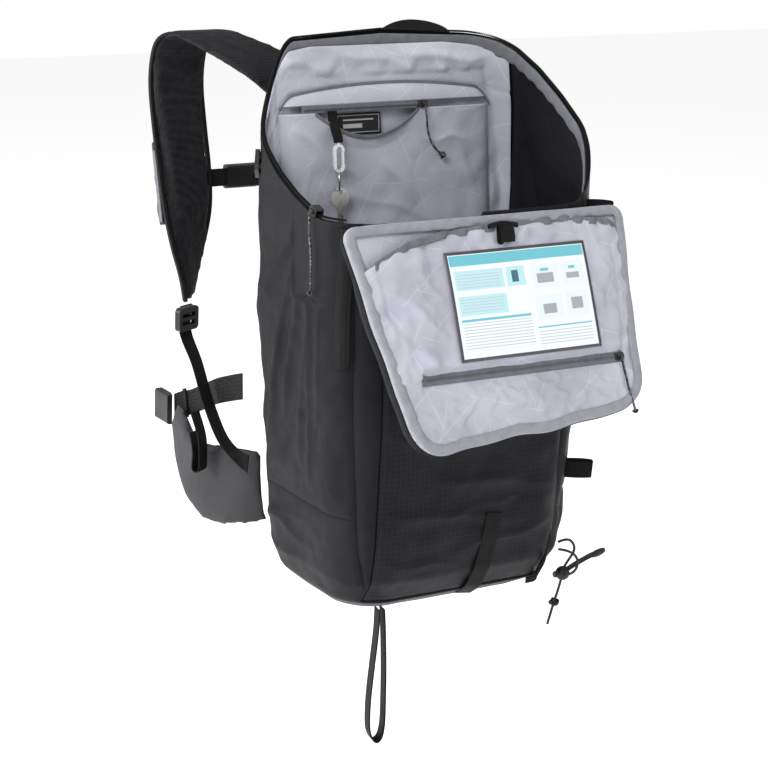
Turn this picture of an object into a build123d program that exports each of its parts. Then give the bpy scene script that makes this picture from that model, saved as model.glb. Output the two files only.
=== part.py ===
from build123d import *
from math import pi, radians, tan
import os

os.makedirs("parts", exist_ok=True)

# ---------------------------------------------------------------------------
# Driving dimensions, in millimetres. The pack is drawn with its base on z = 0,
# the wearer's back towards +Y and the wearer's left towards -X.
# Every piece is then moved so that the haul loop's hanging point is the origin.
# ---------------------------------------------------------------------------
HOOK = Vector(52, 118, 582)

WALL = 2.0                 # coated pack cloth with its seam allowance
# height, width, front wall, back wall, corner radius of the closed pack
SECTIONS = [
    (0, 236, -80, 62, 48),
    (12, 264, -101, 84, 52),
    (40, 280, -115, 97, 54),
    (80, 288, -120, 100, 55),
    (220, 306, -122, 100, 56),
    (330, 320, -118, 100, 56),
    (420, 324, -112, 100, 54),
    (500, 320, -104, 100, 50),
    (596, 300, -92, 100, 46),
]
HINGE_Y, HINGE_Z = -112, 424       # fold of the lid, across the front
BASE_TOP = 14                      # seam between base cloth and walls
LOWER_SEAM = 110                   # seam between upper and lower side cloth
FRONT_SEAM_X = 114                 # front panel is this far each side of the middle
FRONT_SEAM_Y = -104                # seam down each front corner
BACK_SEAM_Y = 64                   # seam down each back corner
# The mouth's edge in side view, (y, z): the left side sags open, the right side is taut.
RIM_LEFT = [(-170, 424), (-112, 424), (-68, 424.5), (-17, 439), (20, 455), (50, 474),
            (76, 498), (90, 532), (97, 566), (100, 580), (106, 592)]
RIM_RIGHT = [(-170, 424), (-112, 426), (-94, 447), (-82, 474), (-59, 500), (-23, 526),
             (17, 549), (57, 565), (88, 576), (100, 580), (106, 582)]
FAR = 400                          # larger than any part of the pack


def write(piece, name):
    piece.part.label = name
    placed = piece.part.moved(Location(-HOOK))
    placed.label = name
    export_step(placed, f"parts/{name}.step")


# ------------------------------------------------------------- shape helpers
def pack_volume(inset):
    """The closed pack as a solid, with every wall moved inwards by inset."""
    with BuildPart() as volume:
        for z, width, front, back, corner in SECTIONS:
            with BuildSketch(Plane.XY.offset(z if z else inset)):
                with Locations((0, (front + back) / 2)):
                    RectangleRounded(width - 2 * inset, back - front - 2 * inset, corner - inset)
        loft(ruled=True)
    return volume.part


def block(low, high):
    with BuildPart() as solid:
        with Locations(tuple((a + b) / 2 for a, b in zip(low, high))):
            Box(*[b - a for a, b in zip(low, high)])
    return solid.part


def under_curve(points, drop, x_low, x_high):
    """Everything below a side-view curve that is first moved in by drop."""
    moved = []
    for y, z in points:
        lean = min(0.6, max(0, (88 - y) / 20))     # straight down round the back
        moved.append((y + lean * drop, z - 0.8 * drop))
    with BuildPart() as solid:
        with BuildSketch(Plane.YZ.offset(x_low)):
            with BuildLine():
                Spline(*moved)
                Polyline(moved[-1], (moved[-1][0] + 40, moved[-1][1]), (moved[-1][0] + 40, -50),
                         (moved[0][0], -50), moved[0])
            make_face()
        extrude(amount=x_high - x_low)
    return solid.part


def under_rim(drop):
    with BuildPart() as solid:
        add(under_curve(RIM_LEFT, drop, -FAR, 0))
        add(under_curve(RIM_RIGHT, drop, 0, FAR))
    return solid.part


def layer(outer, inner, below, above=None):
    """The pack's wall from inset outer to inset inner, below one solid and outside another."""
    with BuildPart() as wall:
        add(pack_volume(outer))
        add(pack_volume(inner), mode=Mode.SUBTRACT)
        add(below, mode=Mode.INTERSECT)
        if above is not None:
            add(above, mode=Mode.SUBTRACT)
    return wall.part


def cut_from(stock, *zones):
    """One node cut from stock: the stretches of it that lie in any of the zones."""
    with BuildPart() as piece:
        for low, high in zones:
            with BuildPart(mode=Mode.PRIVATE) as stretch:
                add(stock)
                add(block(low, high), mode=Mode.INTERSECT)
            add(stretch.part)
    return piece


def band(stations, close=False):
    """A flat strap through stations (point, width direction, width, thickness)."""
    points = [Vector(*s[0]) for s in stations]
    last = len(points) - 1
    with BuildPart() as strap:
        for i, (_, across, width, thick) in enumerate(stations):
            along = (points[min(i + 1, last)] - points[max(i - 1, 0)]).normalized()
            across = Vector(*across)
            across = (across - along * across.dot(along)).normalized()
            with BuildSketch(Plane(origin=points[i], x_dir=across, z_dir=along)):
                RectangleRounded(width, thick, 0.35 * thick)
        loft(ruled=True)
    return strap


def mirrored(piece):
    with BuildPart() as other:
        add(mirror(piece.part, about=Plane.YZ, mode=Mode.PRIVATE))
    return other


def cord(points, diameter, name):
    """A round cord on straight runs and the largest tangent arcs between them."""
    route = [Vector(*p) for p in points]
    runs = [b - a for a, b in zip(route, route[1:])]
    radii = []
    for one, two in zip(runs, runs[1:]):
        half_turn = radians(one.get_angle(two) / 2)
        radii.append(0.45 * min(one.length, two.length) / tan(half_turn))
    with BuildPart() as tube:
        with BuildLine() as line:
            FilletPolyline(*route, radius=radii)
        with BuildSketch(line.line ^ 0):
            Circle(diameter / 2)
        sweep(path=line.line)
    length = sum(edge.length for edge in line.edges())
    print(name, "length", round(length, 1), "tightest", round(min(radii), 1),
          "volume ratio", round(tube.part.volume / (length * pi * diameter ** 2 / 4), 3))
    return tube


# ---------------------------------------------------------------- pack shell
CHAIN_DROP = 1.5           # the zip's teeth stand on the wall's top edge
wall = layer(0, WALL, under_rim(CHAIN_DROP))

base_panel = cut_from(wall, ((-FAR, -FAR, -5), (FAR, FAR, BASE_TOP)))
write(base_panel, "base_panel")

front_panel = cut_from(wall, ((-FRONT_SEAM_X, -FAR, BASE_TOP), (FRONT_SEAM_X, -60, FAR * 2)))
write(front_panel, "front_panel")

corner_gussets = cut_from(
    wall,
    ((-FAR, -FAR, BASE_TOP), (-FRONT_SEAM_X, FRONT_SEAM_Y, FAR * 2)),
    ((FRONT_SEAM_X, -FAR, BASE_TOP), (FAR, FRONT_SEAM_Y, FAR * 2)),
)
write(corner_gussets, "corner_gussets")

# Each side panel also takes in the corner cloth between the gusset's two seams.
side_panel_left = cut_from(wall, ((-FAR, FRONT_SEAM_Y, LOWER_SEAM), (-FRONT_SEAM_X, BACK_SEAM_Y, FAR * 2)))
write(side_panel_left, "side_panel_left")
side_panel_right = cut_from(wall, ((FRONT_SEAM_X, FRONT_SEAM_Y, LOWER_SEAM), (FAR, BACK_SEAM_Y, FAR * 2)))
write(side_panel_right, "side_panel_right")

lower_side_panels = cut_from(
    wall,
    ((-FAR, FRONT_SEAM_Y, BASE_TOP), (-FRONT_SEAM_X, BACK_SEAM_Y, LOWER_SEAM)),
    ((FRONT_SEAM_X, FRONT_SEAM_Y, BASE_TOP), (FAR, BACK_SEAM_Y, LOWER_SEAM)),
)
write(lower_side_panels, "lower_side_panels")

back_shell = cut_from(wall, ((-FAR, BACK_SEAM_Y, BASE_TOP), (FAR, FAR, FAR * 2)))
write(back_shell, "back_shell")

# Mouth zip: a woven tape on the outside of the wall and the teeth on its top edge.
TAPE, TAPE_WIDTH, TEETH = 1.4, 10, 2.4
MOUTH = ((-FAR, -96, 0), (FAR, FAR, FAR * 2))
with BuildPart() as rim_zip:
    add(cut_from(layer(-TAPE, 0, under_rim(CHAIN_DROP), under_rim(CHAIN_DROP + TAPE_WIDTH)), MOUTH).part)
    add(cut_from(layer(-TEETH, 1.0, under_rim(-TEETH), under_rim(CHAIN_DROP)), MOUTH).part)
write(rim_zip, "rim_zip")

# Grey binding tape that covers the raw seam inside the mouth.
rim_binding = cut_from(
    layer(WALL, WALL + 1.2, under_rim(CHAIN_DROP), under_rim(16)), ((-FAR, -96, 0), (FAR, FAR, FAR * 2))
)
write(rim_binding, "rim_binding")

# ------------------------------------------------------------ inside the pack
INSIDE = WALL + 1.5        # inner pieces stop this far inside the outer surface
LINING_Y, LINING = 66, 1.2
LEAN_Z, LEAN = 330, 6.65   # above this height the lining leans back towards the mouth, by degrees
DUCT_X, DUCT_Z, DUCT_R = 104, 300, 12
LEANING = Location((0, LINING_Y, LEAN_Z), (-LEAN, 0, 0)) * Location((0, -LINING_Y, -LEAN_Z))

with BuildPart() as lining_sheet:
    add(block((-FAR, LINING_Y, -20), (FAR, LINING_Y + LINING, LEAN_Z)))
    add(block((-FAR, LINING_Y, LEAN_Z), (FAR, LINING_Y + LINING, 600)).moved(LEANING))
with BuildPart() as back_lining:
    add(pack_volume(INSIDE))
    add(under_rim(20), mode=Mode.INTERSECT)
    add(lining_sheet.part, mode=Mode.INTERSECT)
    with Locations(Location((DUCT_X, LINING_Y, DUCT_Z), (90, 0, 0))):
        Cylinder(DUCT_R + 0.5, 20, mode=Mode.SUBTRACT)
write(back_lining, "back_lining")


def leaning(piece):
    """A piece drawn against the upright lining, moved to lean with it."""
    with BuildPart() as moved:
        add(piece.part.moved(LEANING))
    return moved


# Patch pocket on the lining, with a lens-shaped mouth under its zip.
POCKET_LEFT, POCKET_RIGHT, POCKET_BOTTOM, POCKET_TOP = -130, 132, 330, 512
POCKET_Y, POCKET = 52, 1.4
MOUTH_LEFT, MOUTH_RIGHT, MOUTH_Z, MOUTH_SAG = -92, 36, 505, 27
with BuildPart() as pocket_cloth:
    with BuildSketch(Plane.XZ.offset(-POCKET_Y - POCKET)):
        with BuildLine():
            Polyline((POCKET_LEFT, MOUTH_Z), (POCKET_LEFT, POCKET_BOTTOM), (POCKET_RIGHT, POCKET_BOTTOM),
                     (POCKET_RIGHT, MOUTH_Z), (MOUTH_RIGHT, MOUTH_Z))
            ThreePointArc((MOUTH_RIGHT, MOUTH_Z), ((MOUTH_LEFT + MOUTH_RIGHT) / 2, MOUTH_Z - MOUTH_SAG),
                          (MOUTH_LEFT, MOUTH_Z))
            Line((MOUTH_LEFT, MOUTH_Z), (POCKET_LEFT, MOUTH_Z))
        make_face()
    extrude(amount=POCKET)
    # Side and bottom gussets stand the pocket off the lining.
    for low, high in (
        ((POCKET_LEFT, POCKET_Y + POCKET, POCKET_BOTTOM), (POCKET_LEFT + 1.2, LINING_Y, MOUTH_Z)),
        ((POCKET_RIGHT - 1.2, POCKET_Y + POCKET, POCKET_BOTTOM), (POCKET_RIGHT, LINING_Y, MOUTH_Z)),
        ((POCKET_LEFT + 1.2, POCKET_Y + POCKET, POCKET_BOTTOM), (POCKET_RIGHT - 1.2, LINING_Y, POCKET_BOTTOM + 1.2)),
    ):
        add(block(low, high))
organiser_pocket = leaning(pocket_cloth)
write(organiser_pocket, "organiser_pocket")

ZIP_HEIGHT = 7
with BuildPart() as pocket_zip:
    with Locations((0, POCKET_Y + POCKET / 2, MOUTH_Z + ZIP_HEIGHT / 2 + 0.2)):
        Box(POCKET_RIGHT - POCKET_LEFT - 4, POCKET, ZIP_HEIGHT)
    add(block((POCKET_LEFT + 2, POCKET_Y + POCKET, MOUTH_Z + 4.2), (POCKET_RIGHT - 2, LINING_Y, MOUTH_Z + 7.2)))
organiser_zip = leaning(pocket_zip)
write(organiser_zip, "organiser_zip")

# The slider is a saddle whose two plates run on the front of the zip.
SLIDER_X = MOUTH_RIGHT + 5
with BuildPart() as pocket_slider:
    with Locations((SLIDER_X, POCKET_Y - 1.6, MOUTH_Z + 3.5)):
        Box(11, 2.6, 8)
    fillet(pocket_slider.edges().filter_by(Axis.Y), 2)
    with Locations((SLIDER_X, POCKET_Y - 3.6, MOUTH_Z + 3.5)):
        Box(4, 1.6, 6)
organiser_slider = leaning(pocket_slider)
write(organiser_slider, "organiser_slider")

PULL_D = 2.4               # pull cord
pull_on_pocket = [(SLIDER_X, POCKET_Y - 5.8, MOUTH_Z + 3), (SLIDER_X + 1.2, POCKET_Y - 7.4, MOUTH_Z - 8),
                  (SLIDER_X + 0.6, POCKET_Y - 8.2, MOUTH_Z - 22), (SLIDER_X + 4, POCKET_Y - 7.6, MOUTH_Z - 35),
                  (SLIDER_X + 11, POCKET_Y - 7.2, MOUTH_Z - 46), (SLIDER_X + 20, POCKET_Y - 7.4, MOUTH_Z - 53)]
organiser_pull = cord([(LEANING * Location(p)).position for p in pull_on_pocket], PULL_D, "organiser_pull")
write(organiser_pull, "organiser_pull")

# Key strap, spring clip with a hinged gate, split ring and key, one hanging from the other.
KEY_X, KEY_Y, KEY_TOP = -72, 40, 506
key_webbing = band([
    ((KEY_X, POCKET_Y - 0.9, KEY_TOP), (1, 0, 0), 11, 1.6),
    ((KEY_X, POCKET_Y - 1.4, KEY_TOP - 8), (1, 0, 0), 11, 1.6),
    ((KEY_X, KEY_Y + 5, KEY_TOP - 20), (1, 0, 0), 11, 1.6),
    ((KEY_X, KEY_Y, KEY_TOP - 29), (1, 0, 0), 11, 1.6),
])
with BuildPart() as strap_end:
    add(key_webbing.part)
    with Locations((KEY_X, KEY_Y, KEY_TOP - 31)):
        Box(11, 4, 5)
    with Locations(Location((KEY_X, KEY_Y, KEY_TOP - 31.2), (0, 90, 0))):
        Cylinder(1.2, 12, mode=Mode.SUBTRACT)
    # the clip's loop fits in a notch at the strap's end
    with Locations((KEY_X, KEY_Y, KEY_TOP - 32)):
        Box(3.6, 8, 7.4, mode=Mode.SUBTRACT)
key_strap = leaning(strap_end)
write(key_strap, "key_strap")

CLIP_WIRE = 1.6
CLIP_TOP = KEY_TOP - 31.2
CLIP_X, CLIP_H, CLIP_W = KEY_X, 30, 13
with BuildPart() as clip_wire:
    with BuildSketch(Plane.XZ.offset(-KEY_Y - CLIP_WIRE)):
        with Locations((CLIP_X, CLIP_TOP - CLIP_H / 2 - 3.4)):
            SlotOverall(CLIP_H, CLIP_W, rotation=90)
            SlotOverall(CLIP_H - 6, CLIP_W - 6, rotation=90, mode=Mode.SUBTRACT)
        # the gate closes this side of the clip
        with Locations((CLIP_X + CLIP_W / 2 - 1.5, CLIP_TOP - CLIP_H / 2 - 3.4)):
            Rectangle(3.4, 14, mode=Mode.SUBTRACT)
    extrude(amount=2 * CLIP_WIRE)
    with Locations(Location((CLIP_X, KEY_Y, CLIP_TOP), (0, 90, 0))):
        Cylinder(0.8, 10)
    with Locations((CLIP_X, KEY_Y, CLIP_TOP - 2.2)):
        Box(2.6, 1.6, 4.4)
key_clip = leaning(clip_wire)
write(key_clip, "key_clip")

GATE_Z = CLIP_TOP - CLIP_H / 2 - 3.4 - 6.6     # gate's pivot, at the lower end of the gap
with BuildPart() as gate_bar:
    with Locations((CLIP_X + CLIP_W / 2 - 1.5, KEY_Y, GATE_Z + 6.6)):
        Box(2.2, 2.4, 13.2)
key_clip_gate = leaning(gate_bar)
write(key_clip_gate, "key_clip_gate")

RING_R, RING_WIRE = 12, 0.8
RING_Z = CLIP_TOP - CLIP_H - 3.4 + 3.8 - RING_R + RING_WIRE
with BuildPart() as ring_wire:
    with Locations(Plane((KEY_X, KEY_Y, RING_Z), x_dir=(0, 0, 1), z_dir=(-0.866, 0.5, 0))):
        Torus(RING_R, RING_WIRE)
key_ring = leaning(ring_wire)
write(key_ring, "key_ring")

KEY_HOLE_Z = RING_Z - RING_R - 1.5
with BuildPart() as key_blank:
    with BuildSketch(Plane.XZ.offset(-KEY_Y - 0.9)):
        with Locations((KEY_X, KEY_HOLE_Z - 6)):
            Circle(11)
        with Locations((KEY_X, KEY_HOLE_Z - 27)):
            Rectangle(6.4, 24)
        for tooth in range(3):
            with Locations((KEY_X + 3.2, KEY_HOLE_Z - 24 - 5 * tooth)):
                Rectangle(1.8, 2.4, mode=Mode.SUBTRACT)
        with Locations((KEY_X, KEY_HOLE_Z)):
            Circle(2.6, mode=Mode.SUBTRACT)
    extrude(amount=1.8)
key = leaning(key_blank)
write(key, "key")

# ---------------------------------------------------------- the airbag system
# Folded bag behind the lining, with the inflator and its gas cartridge in front of it.
with BuildPart() as airbag_pack:
    for z, front in ((337, 69.5), (452, 83)):
        with BuildSketch(Plane.XY.offset(z)):
            with Locations((0, (front + 92) / 2)):
                RectangleRounded(236, 92 - front, 4)
    loft(ruled=True)
write(airbag_pack, "airbag_pack")

CARTRIDGE_X, CARTRIDGE_Y, CARTRIDGE_R = 108, 26, 26
CARTRIDGE_BOTTOM, CARTRIDGE_SHOULDER, NECK_TOP, NECK_R = 52, 258, 292, 9
with BuildPart() as gas_cartridge:
    with BuildSketch(Plane.XZ.offset(-CARTRIDGE_Y)):
        with BuildLine():
            Polyline((CARTRIDGE_X, NECK_TOP), (CARTRIDGE_X, CARTRIDGE_BOTTOM),
                     (CARTRIDGE_X + CARTRIDGE_R - 10, CARTRIDGE_BOTTOM))
            ThreePointArc((CARTRIDGE_X + CARTRIDGE_R - 10, CARTRIDGE_BOTTOM),
                          (CARTRIDGE_X + CARTRIDGE_R - 2.93, CARTRIDGE_BOTTOM + 2.93),
                          (CARTRIDGE_X + CARTRIDGE_R, CARTRIDGE_BOTTOM + 10))
            Line((CARTRIDGE_X + CARTRIDGE_R, CARTRIDGE_BOTTOM + 10), (CARTRIDGE_X + CARTRIDGE_R, CARTRIDGE_SHOULDER))
            ThreePointArc((CARTRIDGE_X + CARTRIDGE_R, CARTRIDGE_SHOULDER),
                          (CARTRIDGE_X + 19.5, CARTRIDGE_SHOULDER + 13),
                          (CARTRIDGE_X + NECK_R, CARTRIDGE_SHOULDER + 18))
            Polyline((CARTRIDGE_X + NECK_R, CARTRIDGE_SHOULDER + 18), (CARTRIDGE_X + NECK_R, NECK_TOP),
                     (CARTRIDGE_X, NECK_TOP))
        make_face()
    revolve(axis=Axis((CARTRIDGE_X, CARTRIDGE_Y, 0), (0, 0, 1)))
write(gas_cartridge, "gas_cartridge")

INFLATOR_LOW, INFLATOR_HIGH = 279, 326
with BuildPart() as inflator_body:
    with Locations((CARTRIDGE_X, CARTRIDGE_Y, (INFLATOR_LOW + INFLATOR_HIGH) / 2)):
        Box(44, 44, INFLATOR_HIGH - INFLATOR_LOW)
    fillet(inflator_body.edges().filter_by(Axis.Z), 8)
    with Locations((CARTRIDGE_X, CARTRIDGE_Y, INFLATOR_LOW + 8)):
        Cylinder(NECK_R + 0.08, 18, mode=Mode.SUBTRACT)
    with Locations(Location((DUCT_X, CARTRIDGE_Y + 21 + 15, DUCT_Z), (90, 0, 0))):
        Cylinder(DUCT_R, 30)
    # behind the lining the duct turns up into the folded bag
    with Locations((DUCT_X, 80.5, 311.5)):
        Box(2 * DUCT_R, 20, 50)
    # air intake slots of the venturi
    with Locations(*[(CARTRIDGE_X - 20, CARTRIDGE_Y, INFLATOR_LOW + 30 + 8 * i) for i in range(2)]):
        Box(8, 26, 3.5, mode=Mode.SUBTRACT)
write(inflator_body, "inflator_body")

# ---------------------------------------------------------------- back system
with BuildPart() as frame_sheet:
    with BuildSketch(Plane.XZ.offset(-97.8)):
        with Locations((0, 312)):
            RectangleRounded(182, 452, 30)
    extrude(amount=1.2)
write(frame_sheet, "frame_sheet")

with BuildPart() as frame_stays:
    with Locations((-62, 94.8, 305), (62, 94.8, 305)):
        Box(16, 3, 440)
    fillet(frame_stays.edges().filter_by(Axis.Y), 5)
write(frame_stays, "frame_stays")

PAD_FRONT, PAD = 100.2, 15
with BuildPart() as back_pad:
    with BuildSketch(Plane.XZ.offset(-PAD_FRONT - PAD)):
        with Locations((0, 305)):
            RectangleRounded(232, 470, 40)
    extrude(amount=PAD)
    chamfer(back_pad.faces().sort_by(Axis.Y)[-1].edges(), 5)
    # a channel down the spine and one across it let air through
    with Locations((0, PAD_FRONT + PAD, 305)):
        Box(34, 12, 500, mode=Mode.SUBTRACT)
    with Locations((0, PAD_FRONT + PAD, 250)):
        Box(260, 10, 18, mode=Mode.SUBTRACT)
write(back_pad, "back_pad")

# ------------------------------------------------------------ shoulder straps
STRAP = 11
ACROSS_X = (1, 0, 0)
# point, width direction, width, thickness; the strap loops over the shoulder and twists as it narrows
STRAP_LEFT = [
    ((-66, 121, 452), ACROSS_X, 60, STRAP - 1),
    ((-74, 122, 492), ACROSS_X, 62, STRAP),
    ((-96, 127, 530), ACROSS_X, 64, STRAP),
    ((-122, 144, 552), ACROSS_X, 66, STRAP),
    ((-141, 166, 564), ACROSS_X, 66, STRAP),
    ((-154, 192, 573), ACROSS_X, 67, STRAP),
    ((-162, 216, 575), ACROSS_X, 68, STRAP),
    ((-165, 240, 565), ACROSS_X, 68, STRAP),
    ((-165, 254, 544), ACROSS_X, 68, STRAP),
    ((-165, 258, 511), ACROSS_X, 68, STRAP),
    ((-165, 248, 466), (1, 0.04, 0), 69, STRAP),
    ((-165, 235, 421), (1, 0.1, 0), 70, STRAP),
    ((-165, 226, 380), (1, 0.22, 0), 69, STRAP),
    ((-165, 223, 342), (1, 0.5, 0), 64, STRAP),
    ((-165, 223, 306), (1, 0.9, 0), 48, STRAP - 1),
    ((-165, 224.5, 276), (1, 1.3, 0), 27, STRAP - 3),
]
shoulder_strap_left = band(STRAP_LEFT)
write(shoulder_strap_left, "shoulder_strap_left")

# The right strap is the same piece, slack over its top.
SLACK = {4: 12, 5: 22, 6: 26, 7: 22, 8: 12, 9: 4}
STRAP_RIGHT = [
    ((-p[0], p[1], p[2] - SLACK.get(i, 0)), (w[0], -w[1], w[2]), width, thick)
    for i, (p, w, width, thick) in enumerate(STRAP_LEFT)
]
shoulder_strap_right = band(STRAP_RIGHT)
write(shoulder_strap_right, "shoulder_strap_right")

# Ladder lock: a frame with two cross bars that the webbing threads through.
LOCK_AT, LOCK_TURN = Vector(-165, 224.5, 254), 24
LOCK_W, LOCK_H, LOCK_T, WEB, WEB_T = 33, 27, 7, 20, 1.5
lock_plane = Plane(origin=LOCK_AT, x_dir=Vector(1, 0, 0).rotate(Axis.Z, LOCK_TURN),
                   z_dir=Vector(0, -1, 0).rotate(Axis.Z, LOCK_TURN))
with BuildPart() as ladder_locks:
    with BuildSketch(lock_plane.offset(-LOCK_T / 2)):
        RectangleRounded(LOCK_W, LOCK_H, 5)
        with GridLocations(0, 9, 1, 2):
            Rectangle(WEB + 3, 5, mode=Mode.SUBTRACT)
    extrude(amount=LOCK_T)
    mirror(about=Plane.YZ)
write(ladder_locks, "ladder_locks")

# Lower webbing: past the lock's back, down to the pack's lower corner, and its folded loose tail.
WEB_ACROSS = (1, 0.55, 0)
webbing = band([
    ((-163.2, 230.4, 262), (1, 0.45, 0), WEB, WEB_T), ((-163.4, 231.4, 237), (1, 0.45, 0), WEB, WEB_T),
    ((-161, 206, 206), WEB_ACROSS, WEB, WEB_T), ((-159, 182, 168), WEB_ACROSS, WEB, WEB_T),
    ((-157, 150, 134), WEB_ACROSS, WEB, WEB_T), ((-152, 122, 119), (0.7, 0.8, 0.6), WEB, WEB_T),
    ((-147, 104.5, 114), (0.3, 0.4, 1), WEB, WEB_T),
])
# the tail's free end is folded back on itself; drawn as (forward, up) in its own upright plane
TAIL_PLANE = Plane(origin=(-169, 172, 0), x_dir=(-0.48, 0.877, 0), z_dir=(0.877, 0.48, 0))
with BuildPart() as tail:
    with BuildSketch(TAIL_PLANE.offset(-(WEB - 4) / 2)):
        with BuildLine():
            tail_line = FilletPolyline((12, 157), (2, 130), (0, 106), (1, 92), (6, 89), (9.5, 94), (9, 112),
                                       (13, 134), radius=1.6)
        trace(tail_line, line_width=WEB_T)
    extrude(amount=WEB - 4)

STERNUM_Y, STERNUM_Z, STERNUM_W = 243.4, 408, 20
with BuildPart() as strap_webbing:
    for run in (webbing, tail):
        add(run.part)
        add(mirrored(run).part)
    # the chest strap's fixed end, on the left
    add(block((-150, STERNUM_Y, STERNUM_Z - STERNUM_W / 2), (-103, STERNUM_Y + 1.6, STERNUM_Z + STERNUM_W / 2)))
write(strap_webbing, "strap_webbing")

# ---------------------------------------------------------------- chest strap
FEMALE_X, MALE_X = -108, -70
with BuildPart() as sternum_buckle_female:
    with Locations(((FEMALE_X + MALE_X) / 2, STERNUM_Y + 3.8, STERNUM_Z)):
        Box(MALE_X - FEMALE_X, 11, 27)
    fillet(sternum_buckle_female.edges().filter_by(Axis.X), 4)
    # socket for the two spring arms, open towards the other half
    with Locations((MALE_X - 12, STERNUM_Y + 3.8, STERNUM_Z)):
        Box(26, 5, 20, mode=Mode.SUBTRACT)
    with Locations((FEMALE_X + 3, STERNUM_Y + 1.2, STERNUM_Z)):
        Box(8, 4, 21, mode=Mode.SUBTRACT)
write(sternum_buckle_female, "sternum_buckle_female")
with BuildPart() as sternum_buckle_male:
    with Locations((MALE_X + 7.3, STERNUM_Y + 3.8, STERNUM_Z)):
        Box(14, 10, 26)
    fillet(sternum_buckle_male.edges().filter_by(Axis.X), 3)
    with Locations((MALE_X - 9, STERNUM_Y + 3.8, STERNUM_Z - 7), (MALE_X - 9, STERNUM_Y + 3.8, STERNUM_Z + 7)):
        Box(20, 3.8, 4)
    with Locations((MALE_X + 11, STERNUM_Y + 0.2, STERNUM_Z)):
        Box(8, 4, 21, mode=Mode.SUBTRACT)
write(sternum_buckle_male, "sternum_buckle_male")
with BuildPart() as sternum_strap_right:
    add(block((MALE_X + 8, STERNUM_Y, STERNUM_Z - STERNUM_W / 2), (130, STERNUM_Y + 1.6, STERNUM_Z + STERNUM_W / 2)))
write(sternum_strap_right, "sternum_strap_right")

# Trigger: a grip in a pocket on the strap's outer face; the pocket is open downwards.
GRIP_W, GRIP_H, GRIP_T = 20, 76, 12
GRIP = Location((-177, 249, 402), (-12.4, 0, 0))
with BuildPart() as pocket_box:
    with Locations((0, 0, 5)):
        Box(GRIP_W + 9, GRIP_T + 6, GRIP_H + 20)
    fillet(pocket_box.edges().filter_by(Axis.Z), 5)
    Box(GRIP_W + 5, GRIP_T + 3, GRIP_H + 16, mode=Mode.SUBTRACT)
    with Locations((0, 0, -GRIP_H / 2)):
        Box(GRIP_W + 5, GRIP_T + 3, 40, mode=Mode.SUBTRACT)
with BuildPart() as trigger_pocket:
    add(pocket_box.part.moved(GRIP))
write(trigger_pocket, "trigger_pocket")
with BuildPart() as grip:
    Box(GRIP_W, GRIP_T, GRIP_H)
    fillet(grip.edges().filter_by(Axis.Y), 7)
    fillet(grip.faces().sort_by(Axis.Y)[-1].edges(), 2.5)
with BuildPart() as trigger_handle:
    add(grip.part.moved(GRIP))
write(trigger_handle, "trigger_handle")
trigger_cable = cord(
    [(CARTRIDGE_X - 22, 40, 300), (CARTRIDGE_X - 36, 47, 308), (CARTRIDGE_X - 60, 53, 314),
     (CARTRIDGE_X - 100, 57.5, 316), (CARTRIDGE_X - 150, 58, 314), (CARTRIDGE_X - 205, 57.5, 311),
     (CARTRIDGE_X - 240, 51, 315)],
    4, "trigger_cable")
write(trigger_cable, "trigger_cable")

# ------------------------------------------------------------------ hip belt
UP = (0, 0, 1)
FIN = 12
FIN_LEFT = [
    ((-118, 104, 82), UP, 84, FIN - 3), ((-133, 124, 78), UP, 94, FIN), ((-146, 152, 72), UP, 102, FIN),
    ((-152, 180, 70), UP, 104, FIN), ((-154, 208, 77), UP, 92, FIN), ((-152, 234, 93), UP, 74, FIN - 1),
    ((-149, 256, 112), UP, 56, FIN - 4), ((-146, 278, 128), UP, 34, FIN - 8),
]
hip_fin_left = band([((x, y + 12, z), w, width, thick) for (x, y, z), w, width, thick in FIN_LEFT])
write(hip_fin_left, "hip_fin_left")
hip_fin_right = mirrored(hip_fin_left)
write(hip_fin_right, "hip_fin_right")

# Stabiliser straps run from the fins' tips back up to the pack's sides.
stabiliser = band([
    ((-140.5, 304, 127), UP, 30, 1.6), ((-140, 262, 143), UP, 30, 1.6), ((-144, 190, 175), UP, 30, 1.6),
    ((-149, 118, 200), UP, 30, 1.6),
])
hip_webbing_left = stabiliser
write(hip_webbing_left, "hip_webbing_left")
hip_webbing_right = mirrored(stabiliser)
write(hip_webbing_right, "hip_webbing_right")

HIP_X, HIP_Y, HIP_Z = -143.5, 307, 126
with BuildPart() as hip_buckle_female:
    with Locations((HIP_X - 2, HIP_Y + 12, HIP_Z - 2)):
        Box(11, 34, 36)
    fillet(hip_buckle_female.edges().filter_by(Axis.Y), 3)
    with Locations((HIP_X - 2, HIP_Y + 22, HIP_Z - 2)):
        Box(5.4, 26, 27, mode=Mode.SUBTRACT)
    with Locations((HIP_X + 2, HIP_Y, HIP_Z)):
        Box(6, 12, 40, mode=Mode.SUBTRACT)
write(hip_buckle_female, "hip_buckle_female")
with BuildPart() as hip_buckle_male:
    with Locations((-HIP_X + 2, HIP_Y + 3, HIP_Z - 2)):
        Box(10, 18, 36)
    fillet(hip_buckle_male.edges().filter_by(Axis.Y), 3)
    with Locations((-HIP_X + 2, HIP_Y + 22, HIP_Z - 10), (-HIP_X + 2, HIP_Y + 22, HIP_Z + 6)):
        Box(4, 22, 5)
    with Locations((-HIP_X - 2, HIP_Y, HIP_Z)):
        Box(6, 14, 40, mode=Mode.SUBTRACT)
write(hip_buckle_male, "hip_buckle_male")

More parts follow.
